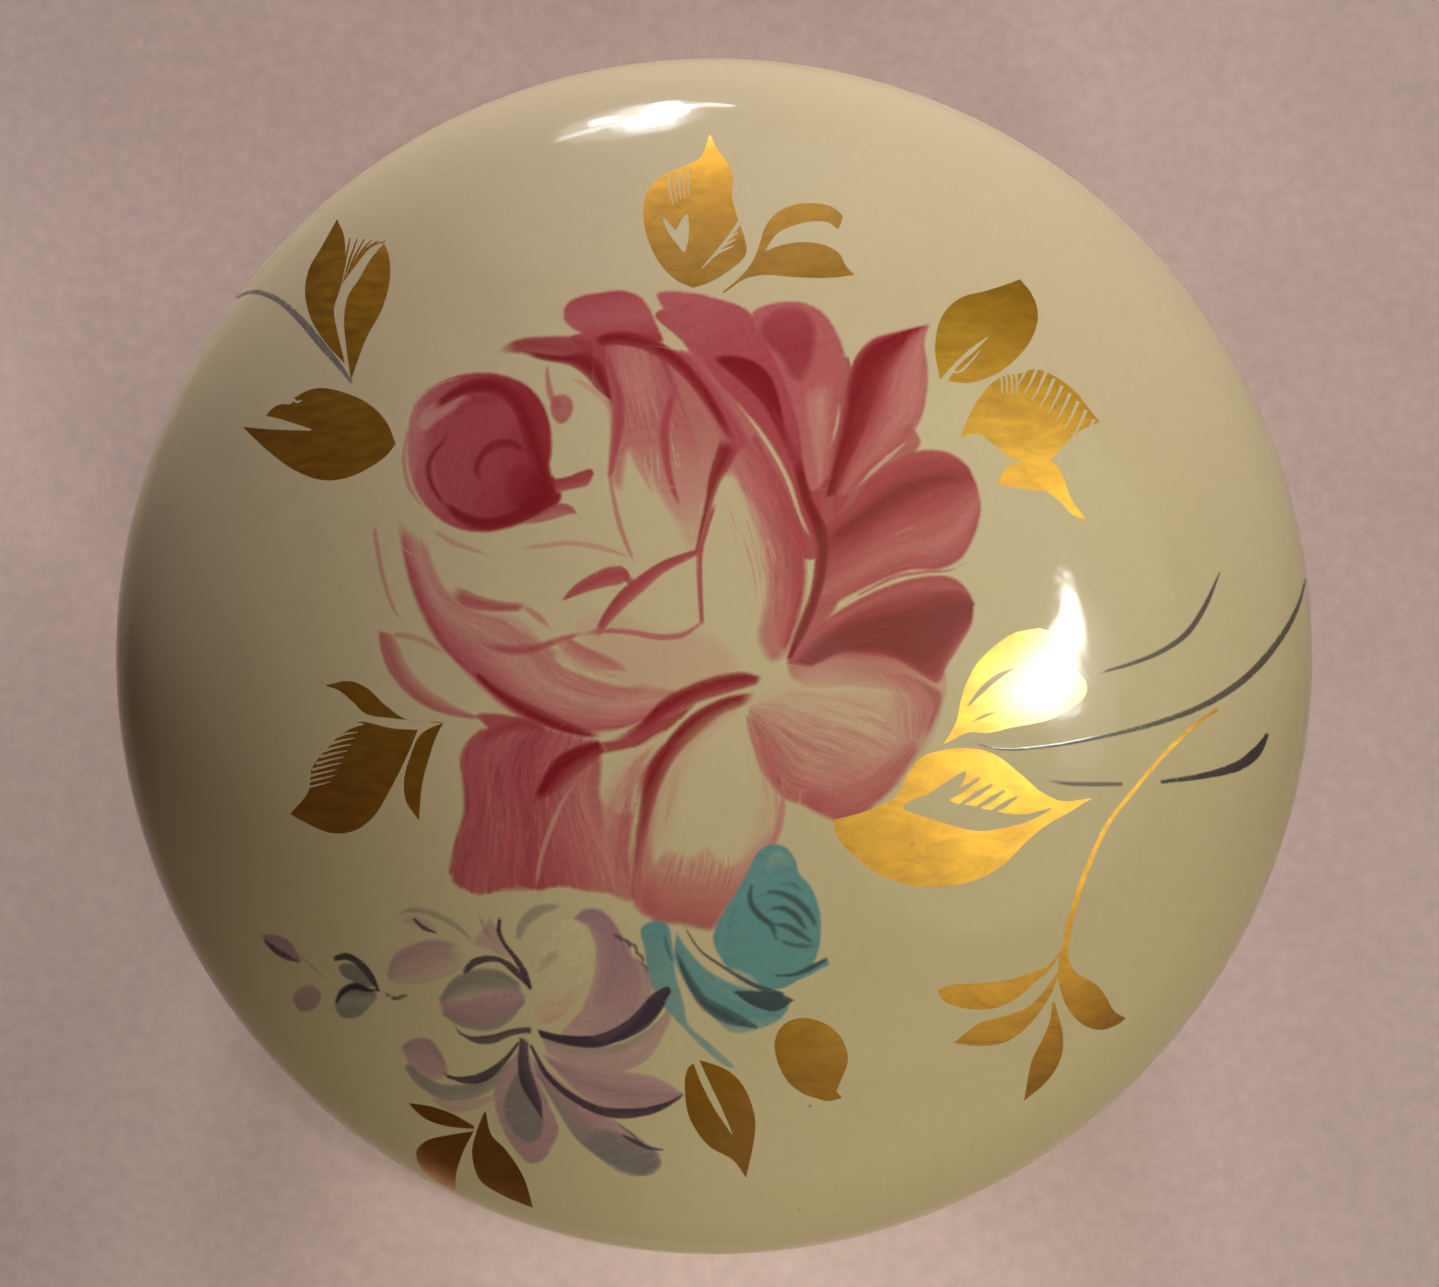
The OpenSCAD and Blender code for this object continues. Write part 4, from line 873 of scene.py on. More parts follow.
def paint_net():
    """Cuts the top of the lid along every brush mark, and works out the colour at each corner of each face."""
    verts, edges = [], []

    def add_loop(m, closed=True):
        b = len(verts)
        verts.extend(m.tolist())
        n = len(m)
        edges.extend((b + i, b + (i + 1) % n) for i in range(n if closed else n - 1))

    maps = []
    for s in STROKES:
        m = app_to_map(s["outline"])
        rr = np.hypot(m[:, 0], m[:, 1])
        k = np.minimum(1, (S_EDGE - 0.25) / np.maximum(rr, 1e-9))
        m = m * k[:, None]
        maps.append(m)
        add_loop(m)
        if s["e"] > 0 and s["kind"] == "paint" and len(m) > 24:
            # a second line just inside, where the soft edge reaches full strength
            nx = np.roll(m, -1, 0) - np.roll(m, 1, 0)
            nx /= np.maximum(np.linalg.norm(nx, axis=1), 1e-9)[:, None]
            area = 0.5 * np.sum(m[:, 0] * np.roll(m[:, 1], -1) - np.roll(m[:, 0], -1) * m[:, 1])
            nrm = np.c_[-nx[:, 1], nx[:, 0]] * (1 if area > 0 else -1)
            off = m + nrm * s["e"] * U
            ok = inside(m, off) & (edge_distance(m, off) > 0.7 * s["e"] * U)
            verts.extend(off[ok].tolist())
    # rim of the net
    NB = 384
    ang = np.linspace(0, 2 * math.pi, NB, endpoint=False)
    rim = np.c_[S_EDGE * np.cos(ang), S_EDGE * np.sin(ang)]
    rim0 = len(verts)
    add_loop(rim)
    # filling points: fine where there is paint, coarser on bare glaze
    rnd = np.random.RandomState(11)

    def hexgrid(step, lim):
        ys = np.arange(-lim, lim, step * 0.866)
        out = []
        for j, y in enumerate(ys):
            xs = np.arange(-lim, lim, step) + (step / 2 if j % 2 else 0)
            out.append(np.c_[xs, np.full(len(xs), y)])
        g = np.vstack(out)
        g += rnd.uniform(-0.12, 0.12, g.shape) * step
        return g[np.hypot(g[:, 0], g[:, 1]) < lim]

    fine = hexgrid(0.36, S_EDGE - 0.5)
    hit = np.zeros(len(fine), bool)
    for s, m in zip(STROKES, maps):
        if s["kind"] != "paint":
            continue
        lo, hi = m.min(0) - 0.1, m.max(0) + 0.1
        c = np.where(~hit & (fine[:, 0] > lo[0]) & (fine[:, 0] < hi[0]) & (fine[:, 1] > lo[1]) & (fine[:, 1] < hi[1]))[0]
        if len(c):
            hit[c] |= inside(m, fine[c])
    fine = fine[hit]
    coarse = hexgrid(1.05, S_EDGE - 0.7)
    key = set(map(tuple, np.round(fine / 0.8).astype(int).tolist()))
    keep = [i for i, p in enumerate(np.round(coarse / 0.8).astype(int).tolist()) if tuple(p) not in key]
    coarse = coarse[keep]
    verts.extend(fine.tolist())
    verts.extend(coarse.tolist())
    res = delaunay_2d_cdt([Vector(v) for v in verts], edges, [], 0, 2e-4, True)
    co = np.array([tuple(v) for v in res[0]])
    tri = np.array([f for f in res[2] if len(f) == 3])
    orig = {}
    for i, o in enumerate(res[3]):
        for k in o:
            if rim0 <= k < rim0 + NB:
                orig[k - rim0] = i
    rim_ids = [orig[k] for k in range(NB)]
    a, b, c = co[tri[:, 0]], co[tri[:, 1]], co[tri[:, 2]]
    area = 0.5 * ((b[:, 0] - a[:, 0]) * (c[:, 1] - a[:, 1]) - (c[:, 0] - a[:, 0]) * (b[:, 1] - a[:, 1]))
    tri[area < 0] = tri[area < 0][:, ::-1]
    cen = (a + b + c) / 3
    nf = len(tri)
    # inverse map of every vertex, back to design units, for the strokes' own coordinates
    xyz, nrm = map_to_dome(co)
    dz = xyz[:, 2] - WIDE_Z
    ax = CAM_X + (xyz[:, 0] - CAM_X) / (1 - dz / CAM_D)
    ay = CAM_Y + (xyz[:, 1] - CAM_Y) / (1 - dz / CAM_D)
    des = np.c_[ax / U + 714, 656 - ay / U]
    col = np.zeros((nf, 3, 3))
    cov = np.zeros((nf, 3))
    flow = np.zeros((nf, 3, 3))
    weight = np.zeros(nf)
    is_gold = np.zeros(nf, bool)
    base = INK["W"]
    for s, m in zip(STROKES, maps):
        lo, hi = m.min(0), m.max(0)
        c = np.where((cen[:, 0] > lo[0]) & (cen[:, 0] < hi[0]) & (cen[:, 1] > lo[1]) & (cen[:, 1] < hi[1]))[0]
        if not len(c):
            continue
        c = c[inside(m, cen[c])]
        if not len(c):
            continue
        if s["kind"] == "bare":
            is_gold[c] = False
            cov[c] = 0
            continue
        if s["kind"] == "gold":
            is_gold[c] = True
            cov[c] = 0
            continue
        ids, inv = np.unique(tri[c].ravel(), return_inverse=True)
        p = des[ids]
        u, v = grid_uv(s["grid"], p)
        g = s["grid"]
        lu = np.linalg.norm(np.diff(g[:, g.shape[1] // 2], axis=0), axis=1).sum() * U
        lv = max(np.linalg.norm(g[:, -1] - g[:, 0], axis=1).max() * U, 0.2)
        rv, rc, ra = s["ramp"]
        wob = (vnoise(np.c_[u * lu * 0.22, v * lv * 1.6, np.full(len(u), lu)], 1.0, 5) - 0.5) * 0.10 * s["s"]
        vw = np.clip(v + wob, 0, 1)
        cc = np.stack([np.interp(vw, rv, rc[:, i]) for i in range(3)], axis=1)
        aa = np.interp(vw, rv, ra) * s["a"]
        if s["e"] > 0:
            d = edge_distance(m, co[ids])
            aa = aa * smooth(d, -0.3 * s["e"] * U, s["e"] * U)
        if s["f"][0]:
            aa = aa * smooth(u, 0, s["f"][0])
        if s["f"][1]:
            aa = aa * (1 - smooth(u, 1 - s["f"][1], 1))
        aa, cc = aa[inv].reshape(-1, 3), cc[inv].reshape(-1, 3, 3)
        uu, vv = (u * lu)[inv].reshape(-1, 3), (v * lv)[inv].reshape(-1, 3)
        old_c, old_a = col[c], cov[c]
        new_a = aa + old_a * (1 - aa)
        mixc = (cc * aa[..., None] + old_c * (old_a * (1 - aa))[..., None]) / np.maximum(new_a, 1e-6)[..., None]
        mixc = np.where(new_a[..., None] > 1e-5, mixc, cc)
        col[c], cov[c] = mixc, new_a
        am = aa.mean(1)
        wold = weight[c] * (1 - am)
        take = am >= wold
        weight[c] = np.where(take, am, wold)
        fl = np.stack([uu, vv, np.full(uu.shape, s["s"])], axis=2)
        flow[c] = np.where(take[:, None, None], fl, flow[c])
        is_gold[c[am > 0.6]] = False
    # corners with no paint of their own take a neighbour's hue, so that nothing dark shows at a soft edge
    tot = np.zeros((len(co), 3))
    wt = np.zeros(len(co))
    np.add.at(tot, tri.ravel(), (col * cov[..., None]).reshape(-1, 3))
    np.add.at(wt, tri.ravel(), cov.ravel())
    mean = np.where(wt[:, None] > 1e-4, tot / np.maximum(wt, 1e-4)[:, None], base)
    low = cov < 0.02
    col[low] = mean[tri][low]
    return co, tri, xyz, nrm, des, col, cov, flow, is_gold, rim_ids, ang


def build_lid():
    co, tri, xyz, nrm, des, col, cov, flow, is_gold, rim_ids, ang = paint_net()
    NB = len(rim_ids)
    verts = xyz.tolist()
    normals = nrm.tolist()
    faces = tri.tolist()
    mat = np.where(is_gold, 1, 0).tolist()
    # the rest of the lid, turned: rolled edge, seat, locating flange, inside
    s0 = S_EDGE
    sl = np.linspace(s0, float(_arc[-1]), 22)[1:]
    prof = [(float(np.interp(s, _arc, _prof[:, 0])), float(np.interp(s, _arc, _prof[:, 1])), 0) for s in sl]
    seat = SEAT_Z
    fo, fi, fd = FLANGE_R, FLANGE_IN, SEAT_Z - FLANGE_D

    def run(points, m, step=0.8):
        for p in resample(points, step)[1:]:
            prof.append((float(p[0]), float(p[1]), m))

    run([(LID_R - EDGE_IN, seat), (LID_R - EDGE_IN - 0.25, seat)], 0)
    run([(LID_R - EDGE_IN - 0.25, seat), (fo + 0.5, seat)], 2)
    run(arc(fo + 0.5, seat - 0.5, 0.5, 0.5, 90, 180, 5), 2)
    run([(fo, seat - 0.5), (fo, fd + 1.2)], 2)
    run(arc(fo - 1.4, fd + 1.2, 1.4, 1.2, 0, -90, 8), 2)
    run([(fo - 1.4, fd), (fi + 1.4, fd)], 2)
    run(arc(fi + 1.4, fd + 1.2, 1.4, 1.2, -90, -180, 8), 2)
    run([(fi, fd + 1.2), (fi, seat + 1.4)], 3)
    run(arc(fi + 1.6, seat + 1.6, 1.6, 1.6, 180, 90, 8), 3)
    in_r = LID_R - LID_WALL - 0.8
    run([(fi + 1.6, seat + 3.2), (in_r - 2.4, seat + 3.2)], 3)
    run(arc(in_r - 2.4, WIDE_Z, 2.4, EDGE_H - 3.2, -90, -5, 8), 3)
    run(arc(0, WIDE_Z, in_r, DOME_H - LID_WALL, 2, 89, 60), 3, 1.6)
    P = np.array([(p[0], p[1]) for p in prof])
    T = np.gradient(np.vstack([[np.interp(s0, _arc, _prof[:, 0]), np.interp(s0, _arc, _prof[:, 1])], P]), axis=0)[1:]
    T /= np.maximum(np.linalg.norm(T, axis=1), 1e-9)[:, None]
    prev = rim_ids
    ca, sa = np.cos(ang), np.sin(ang)
    for (r, z, m), t in zip(prof, T):
        b = len(verts)
        verts.extend(np.c_[r * ca, r * sa, np.full(NB, z)].tolist())
        normals.extend(np.c_[-t[1] * ca, -t[1] * sa, np.full(NB, t[0])].tolist())
        cur = list(range(b, b + NB))
        for i in range(NB):
            j = (i + 1) % NB
            faces.append([prev[i], cur[i], cur[j], prev[j]])
            mat.append(m)
        prev = cur
    b = len(verts)
    verts.append([0, 0, WIDE_Z + DOME_H - LID_WALL])
    normals.append([0, 0, -1])
    for i in range(NB):
        faces.append([prev[i], b, prev[(i + 1) % NB]])
        mat.append(3)
    v = np.array(verts) * MM
    me = bpy.data.meshes.new("painted_lid")
    me.from_pydata(v.tolist(), [], faces)
    me.update()
    ob = bpy.data.objects.new("painted_lid", me)
    scene.collection.objects.link(ob)
    me.polygons.foreach_set("use_smooth", [True] * len(me.polygons))
    me.polygons.foreach_set("material_index", mat)
    nl = len(me.loops)
    paint = np.zeros((nl, 4), np.float32)
    fl = np.zeros((nl, 3), np.float32)
    nt = len(tri)
    paint[:, :3] = INK["W"]
    paint[:nt * 3, :3] = np.clip(col.reshape(-1, 3), 0, 1)
    paint[:nt * 3, 3] = cov.ravel()
    fl[:nt * 3] = flow.reshape(-1, 3)
    at = me.attributes.new("paint", "FLOAT_COLOR", "CORNER")
    at.data.foreach_set("color", paint.ravel())
    at = me.attributes.new("flow", "FLOAT_VECTOR", "CORNER")
    at.data.foreach_set("vector", fl.ravel())
    me.normals_split_custom_set_from_vertices(normals)
    me.update()
    print("painted lid:", len(v), "verts", len(faces), "faces;", int(is_gold.sum()), "gold;", len(STROKES), "marks")
    return ob


lid = build_lid()

# ---------------------------------------------------------------- porcelain materials
CREAM = tuple(INK["W"])


def glaze_colour(n, vec):
    """Ivory glaze: slow warm and cool drift, faint mottling and a few tiny brown specks."""
    slow = n.noise(vec, 14.0, 2.0, 0.5)
    fine = n.noise(vec, 900.0, 3.0, 0.6)
    c = n.mix(n.range(slow, 0.35, 0.65, 0, 1), tuple(x * k for x, k in zip(CREAM, (0.965, 0.975, 0.96))),
              tuple(x * k for x, k in zip(CREAM, (1.02, 1.015, 1.03))))
    c = n.mul_col(c, n.range(fine, 0.25, 0.75, 0.975, 1.02))
    vor = n.node("ShaderNodeTexVoronoi", feature="F1")
    n.link(vec, vor.inputs["Vector"])
    vor.inputs["Scale"].default_value = 95.0
    vor.inputs["Randomness"].default_value = 1.0
    sel = n.math("GREATER_THAN", vor.outputs["Color"], 0.965)
    sep = n.node("ShaderNodeSeparateColor")
    n.link(vor.outputs["Color"], sep.inputs[0])
    sel = n.math("GREATER_THAN", sep.outputs[0], 0.93)
    dot = n.range(vor.outputs["Distance"], 0.010, 0.020, 1, 0)
    return n.mix(n.math("MULTIPLY", n.math("MULTIPLY", sel, dot), 0.5), c, tuple(x * 0.35 for x in CREAM))


def glaze_bump(n, vec, strength=1.0):
    """Slow waviness of a fired glaze, and fine orange peel."""
    wave = n.noise(vec, 45.0, 1.0, 0.4)
    peel = n.noise(vec, 420.0, 2.0, 0.5)
    h = n.math("ADD", n.math("MULTIPLY", wave, 1.0), n.math("MULTIPLY", peel, 0.06))
    return n.bump(h, 0.35 * strength, 0.0010)


def plain_glaze(name, tint=(1, 1, 1)):
    m, nt, bs = node_tree(name)
    n = N(nt)
    vec = n.coord()
    c = glaze_colour(n, vec)
    n.link(c, bs.inputs["Base Color"])
    r = n.noise(vec, 60.0, 3.0, 0.6)
    n.link(n.range(r, 0.3, 0.7, 0.06, 0.12), bs.inputs["Roughness"])
    bs.inputs["IOR"].default_value = 1.52
    bs.inputs["Coat Weight"].default_value = 0.4
    bs.inputs["Coat Roughness"].default_value = 0.04
    n.link(glaze_bump(n, vec), bs.inputs["Normal"])
    return m


def painted_glaze():
    m, nt, bs = node_tree("painted_glaze")
    n = N(nt)
    vec = n.coord()
    c = glaze_colour(n, vec)
    pa = n.node("ShaderNodeAttribute", attribute_name="paint")
    fl = n.node("ShaderNodeAttribute", attribute_name="flow")
    sep = n.node("ShaderNodeSeparateXYZ")
    n.link(fl.outputs["Vector"], sep.inputs[0])
    # bristle marks: noise drawn out along the stroke
    comb = n.node("ShaderNodeCombineXYZ")
    n.link(n.math("MULTIPLY", sep.outputs[0], 0.16), comb.inputs[0])
    n.link(n.math("MULTIPLY", sep.outputs[1], 1.25), comb.inputs[1])
    bristle = n.noise(comb.outputs[0], 1.0, 3.0, 0.62)
    comb2 = n.node("ShaderNodeCombineXYZ")
    n.link(n.math("MULTIPLY", sep.outputs[0], 0.5), comb2.inputs[0])
    n.link(n.math("MULTIPLY", sep.outputs[1], 3.4), comb2.inputs[1])
    hair = n.noise(comb2.outputs[0], 1.0, 2.0, 0.5)
    br = n.math("ADD", n.math("MULTIPLY", bristle, 0.7), n.math("MULTIPLY", hair, 0.3))
    dev = n.math("MULTIPLY", n.math("SUBTRACT", br, 0.5), sep.outputs[2])
    cov = pa.outputs["Alpha"]
    # coverage breaks up most where the paint is half thin
    mid = n.math("MULTIPLY", n.math("MULTIPLY", cov, n.math("SUBTRACT", 1.0, cov)), 4.0)
    cov2 = n.math("ADD", cov, n.math("MULTIPLY", dev, n.math("MULTIPLY", mid, 1.3)), clamp=True)
    pig = n.mul_col(pa.outputs["Color"], n.math("ADD", 1.0, n.math("MULTIPLY", dev, -0.7)))
    grain = n.noise(vec, 2600.0, 2.0, 0.6)
    pig = n.mul_col(pig, n.range(grain, 0.3, 0.7, 0.94, 1.06))
    # painted shade: the petals round the highlight are darkened by distance from it, to offset the lamps' reflection
    # that lies over them
    shade_centre_dist = n.node("ShaderNodeVectorMath", operation="DISTANCE")
    n.link(vec, shade_centre_dist.inputs[0])
    shade_centre_dist.inputs[1].default_value = (0.018, 0.006, 0.0605)
    painted_shade_mix = n.node("ShaderNodeMix", data_type="RGBA", blend_type="MULTIPLY")
    n.link(n.range(shade_centre_dist.outputs["Value"], 0.011, 0.019, 1, 0), painted_shade_mix.inputs[0])
    n.link(pig, painted_shade_mix.inputs[6])
    painted_shade_mix.inputs[7].default_value = (0.92, 0.70, 0.74, 1)
    pig = painted_shade_mix.outputs[2]
    col = n.mix(cov2, c, pig)
    n.link(col, bs.inputs["Base Color"])
    r = n.noise(vec, 60.0, 3.0, 0.6)
    rough = n.math("ADD", n.range(r, 0.3, 0.7, 0.06, 0.11), n.math("MULTIPLY", cov2, 0.07))
    n.link(rough, bs.inputs["Roughness"])
    bs.inputs["IOR"].default_value = 1.52
    bs.inputs["Specular IOR Level"].default_value = 0.34
    bs.inputs["Coat Weight"].default_value = 0.25
    bs.inputs["Coat Roughness"].default_value = 0.04
    h = n.bump(n.math("ADD", cov2, n.math("MULTIPLY", n.math("MULTIPLY", br, cov), 0.25)), 0.5, 0.00002, glaze_bump(n, vec))
    n.link(h, bs.inputs["Normal"])
    return m


def gold_leaf():
    m, nt, bs = node_tree("bright_gold")
    n = N(nt)
    vec = n.coord()
    slow = n.noise(vec, 120.0, 3.0, 0.6)
    brush = n.noise(n.scaled(vec, (1.0, 3.0, 1.0)), 500.0, 3.0, 0.6)
    c = n.mix(n.range(slow, 0.35, 0.7, 0, 1), (0.84, 0.40, 0.03), (0.90, 0.47, 0.04))
    worn = n.noise(vec, 1100.0, 4.0, 0.65)
    c = n.mix(n.range(worn, 0.66, 0.74, 0, 0.5), c, (0.42, 0.20, 0.05))
    # strokes of the gilder's brush: a little thicker and thinner
    laid = n.noise(n.scaled(vec, (1.0, 2.2, 1.0)), 300.0, 4.0, 0.66, 0.5)
    c = n.mul_col(c, n.range(laid, 0.32, 0.68, 0.80, 1.10))
    n.link(c, bs.inputs["Base Color"])
    bs.inputs["Metallic"].default_value = 1.0
    n.link(n.math("ADD", n.range(brush, 0.3, 0.7, 0.35, 0.45), n.range(laid, 0.3, 0.7, 0.04, -0.04)), bs.inputs["Roughness"])
    bs.inputs["Coat Weight"].default_value = 1.0
    bs.inputs["Coat IOR"].default_value = 1.6
    bs.inputs["Coat Roughness"].default_value = 0.15
    h = n.math("ADD", n.math("MULTIPLY", slow, 1.0), n.math("MULTIPLY", n.math("ADD", brush, laid), 0.14))
    n.link(n.bump(h, 0.5, 0.00012), bs.inputs["Normal"])
    return m


def bisque():
    m, nt, bs = node_tree("ground_bisque")
    n = N(nt)
    vec = n.coord()
    g = n.noise(vec, 2200.0, 4.0, 0.7)
    s = n.noise(vec, 90.0, 3.0, 0.6)
    c = n.mix(n.range(s, 0.3, 0.7, 0, 1), (0.58, 0.50, 0.36), (0.70, 0.63, 0.49))
    c = n.mul_col(c, n.range(g, 0.3, 0.7, 0.88, 1.05))
    n.link(c, bs.inputs["Base Color"])
    n.link(n.range(g, 0.3, 0.7, 0.62, 0.85), bs.inputs["Roughness"])
    n.link(n.bump(g, 0.6, 0.00008), bs.inputs["Normal"])
    return m


MAT_PAINT = painted_glaze()
MAT_GOLD = gold_leaf()
MAT_BISQUE = bisque()
MAT_GLAZE = plain_glaze("ivory_glaze")
for m in (MAT_PAINT, MAT_GOLD, MAT_BISQUE, MAT_GLAZE):
    lid.data.materials.append(m)
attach(lid, "lid")
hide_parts("lid")


# ---------------------------------------------------------------- jar body, turned
def lathe(name, prof, nb=288, mats=None):
    """A closed solid turned from (r, z, material) points that start and end on the axis."""
    ang = np.linspace(0, 2 * math.pi, nb, endpoint=False)
    ca, sa = np.cos(ang), np.sin(ang)
    verts = [[0, 0, prof[0][1]]]
    faces, mat, prev = [], [], None
    for r, z, m in prof[1:-1]:
        b = len(verts)
        verts.extend(np.c_[r * ca, r * sa, np.full(nb, z)].tolist())
        cur = list(range(b, b + nb))
        for i in range(nb):
            j = (i + 1) % nb
            faces.append([0, cur[i], cur[j]] if prev is None else [prev[i], cur[i], cur[j], prev[j]])
            mat.append(m)
        prev = cur
    b = len(verts)
    verts.append([0, 0, prof[-1][1]])
    for i in range(nb):
        faces.append([prev[i], b, prev[(i + 1) % nb]])
        mat.append(prof[-1][2])
    ob = new_mesh(name, np.array(verts) * MM, faces)
    ob.data.polygons.foreach_set("material_index", mat)
    for m in mats or []:
        ob.data.materials.append(m)
    return ob


def build_jar():
    foot_r, foot_h, wall = 29.4, 3.2, 3.4
    belly_r, belly_z, rim_r, mouth_r = jar_hi.x * 1000, 26.0, 45.2, 42.0
    cx, icx, ib = foot_r - 0.9, foot_r - 3.9, belly_r - wall
    floor = foot_h + wall
    P = []

    def run(points, m, step=0.9):
        for p in resample(points, step)[(1 if P else 0):]:
            P.append((float(p[0]), float(p[1]), m))

    # inside floor outwards, up the wall, over the rim, down the outside, foot ring, recess
    run([(0, floor), (icx, floor)], 0, 2.0)
    run(arc(icx, belly_z, ib - icx, belly_z - floor, -90, -3, 40), 0)
    run(arc(mouth_r, belly_z, ib - mouth_r, SEAT_Z - 8 - belly_z, 0, 88, 14), 0)
    run([(mouth_r, SEAT_Z - 7), (mouth_r, SEAT_Z - 1.0)], 0)
    run(arc(mouth_r + 0.8, SEAT_Z - 0.8, 0.8, 0.8, 180, 100, 8), 0, 0.2)
    run([(mouth_r + 0.8, SEAT_Z), (rim_r - 0.9, SEAT_Z)], 1)
    run(arc(rim_r - 0.9, SEAT_Z - 0.9, 0.9, 0.9, 84, 2, 8), 0, 0.2)
    run(arc(rim_r, belly_z, belly_r - rim_r, SEAT_Z - 1.0 - belly_z, 84, 0, 24), 0)
    run(arc(cx, belly_z, belly_r - cx, belly_z - foot_h, -2, -82, 40), 0)
    run([(foot_r + 0.35, foot_h - 0.35), (foot_r + 0.1, foot_h - 0.9), (foot_r + 0.02, 1.6), (foot_r - 0.05, 0.9)], 0, 0.4)
    run(arc(foot_r - 0.75, 0.75, 0.7, 0.75, 0, -84, 8), 1, 0.2)
    run([(foot_r - 0.9, 0), (foot_r - 3.2, 0)], 1)
    run(arc(foot_r - 3.3, 0.7, 0.7, 0.7, -96, -178, 8), 1, 0.2)
    run([(foot_r - 4.05, 1.4), (foot_r - 4.2, foot_h - 0.8), (foot_r - 4.7, foot_h - 0.2), (foot_r - 5.4, foot_h)], 0, 0.4)
    run([(foot_r - 6, foot_h), (0, foot_h)], 0, 2.0)
    P[0] = (0, floor, 0)
    P[-1] = (0, foot_h, 0)
    ob = lathe("porcelain_bowl", P, mats=[MAT_GLAZE, MAT_BISQUE])
    # the point order runs from the inside out, so the faces turn over
    bm = bmesh.new()
    bm.from_mesh(ob.data)
    bmesh.ops.recalc_face_normals(bm, faces=bm.faces)
    bm.to_mesh(ob.data)
    bm.free()
    return ob


jar = build_jar()
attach(jar, "jar")
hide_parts("jar_body")

# ---------------------------------------------------------------- loose powder
def powder_mat():
    m, nt, bs = node_tree("loose_powder")
    n = N(nt)
    vec = n.coord()
    slow = n.noise(vec, 60.0, 3.0, 0.6)
    grain = n.noise(vec, 5200.0, 2.0, 0.7)
    clump = n.noise(vec, 900.0, 4.0, 0.65)
    c = n.mix(n.range(slow, 0.3, 0.7, 0, 1), (0.80, 0.56, 0.43), (0.86, 0.64, 0.51))
    c = n.mul_col(c, n.range(clump, 0.3, 0.7, 0.92, 1.04))
    c = n.mul_col(c, n.range(grain, 0.3, 0.7, 0.93, 1.05))
    n.link(c, bs.inputs["Base Color"])
    n.link(n.range(grain, 0.3, 0.7, 0.86, 1.0), bs.inputs["Roughness"])
    bs.inputs["Specular IOR Level"].default_value = 0.15
    h = n.math("ADD", n.math("MULTIPLY", clump, 1.0), n.math("MULTIPLY", grain, 0.3))
    n.link(n.bump(h, 0.7, 0.00022), bs.inputs["Normal"])
    return m


def build_powder():
    top, dish, floor_z = pow_hi.z * 1000, 1.2, 6.6
    top = 20.0
    cx, ib = 25.35, jar_hi.x * 1000 - 3.4 - 0.15
    t1 = math.degrees(math.asin((top - 26) / (26 - floor_z)))
    prof = [(0, floor_z + 0.02, 0)]
    prof += [(r, floor_z + 0.02, 0) for r in np.linspace(2, 22.4, 8)]
    prof += [(float(r), float(z), 0) for r, z in resample(arc(cx, 26, ib - cx, 26 - floor_z - 0.15, -86, t1, 30), 0.9)]
    last = prof[-1]
    top_r = np.arange(last[0] - 0.45, 0.3, -0.45)

    def level(r):
        z = top - dish * (1 - (r / 26) ** 2) if r < 26 else top
        return z - 0.15 * smooth(r, last[0] - 5, last[0] - 1.4) + (last[1] - top + 0.15) * smooth(r, last[0] - 1.4, last[0])

    prof += [(float(r), float(level(r)), 1) for r in top_r]
    prof.append((0, top - dish, 1))
    nb = 288
    ob = lathe("pressed_powder", [(p[0], p[1], 0) for p in prof], nb=nb, mats=[powder_mat()])
    me = ob.data
    co = np.empty(len(me.vertices) * 3)
    me.vertices.foreach_get("co", co)
    co = co.reshape(-1, 3) * 1000
    r = np.hypot(co[:, 0], co[:, 1])
    th = np.arctan2(co[:, 1], co[:, 0])
    w = (co[:, 2] > 18.0) * smooth(last[0] - r, 0.2, 2.0)
    soft = fbm(co * [1, 1, 0], 0.16, 3, 3) - 0.5
    fine = fbm(co * [1, 1, 0], 1.3, 9, 3) - 0.5
    outer = smooth(r, 27, 33)
    # the face's nap leaves faint rings and dabs where it has been pressed and turned
    dab = np.sin(r * 2.1 + 1.6 * vnoise(co * [1, 1, 0], 0.25, 5)) * (1 - outer)
    crumb = smooth(vnoise(co * [1, 1, 0], 0.9, 21), 0.80, 0.97) * outer
    co[:, 2] += w * (soft * (0.16 + 0.75 * outer) + fine * (0.16 + 0.22 * outer) + 0.035 * dab + 0.35 * crumb)
    # a scoop taken from one side of the heap
    sc = np.exp(-(((co[:, 0] + 24) / 8) ** 2 + ((co[:, 1] - 27) / 6) ** 2))
    co[:, 2] -= w * sc * outer * 0.9
    co[:, 2] = np.minimum(co[:, 2], pow_hi.z * 1000 + 0.35)
    me.vertices.foreach_set("co", (co * MM).ravel())
    me.update()
    fix_normals(ob)
    return ob


def fix_normals(ob):
    bm = bmesh.new()
    bm.from_mesh(ob.data)
    bmesh.ops.recalc_face_normals(bm, faces=bm.faces)
    bm.to_mesh(ob.data)
    bm.free()


powder = build_powder()
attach(powder, "jar")
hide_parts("powder")

# ---------------------------------------------------------------- powder puff
PUFF_Z = 25.6
PUFF_R = 33.0
DOWN, UP = 6.5, 5.0
SEG, RINGS = 176, 22                          # round the seam, and from the seam to each pole


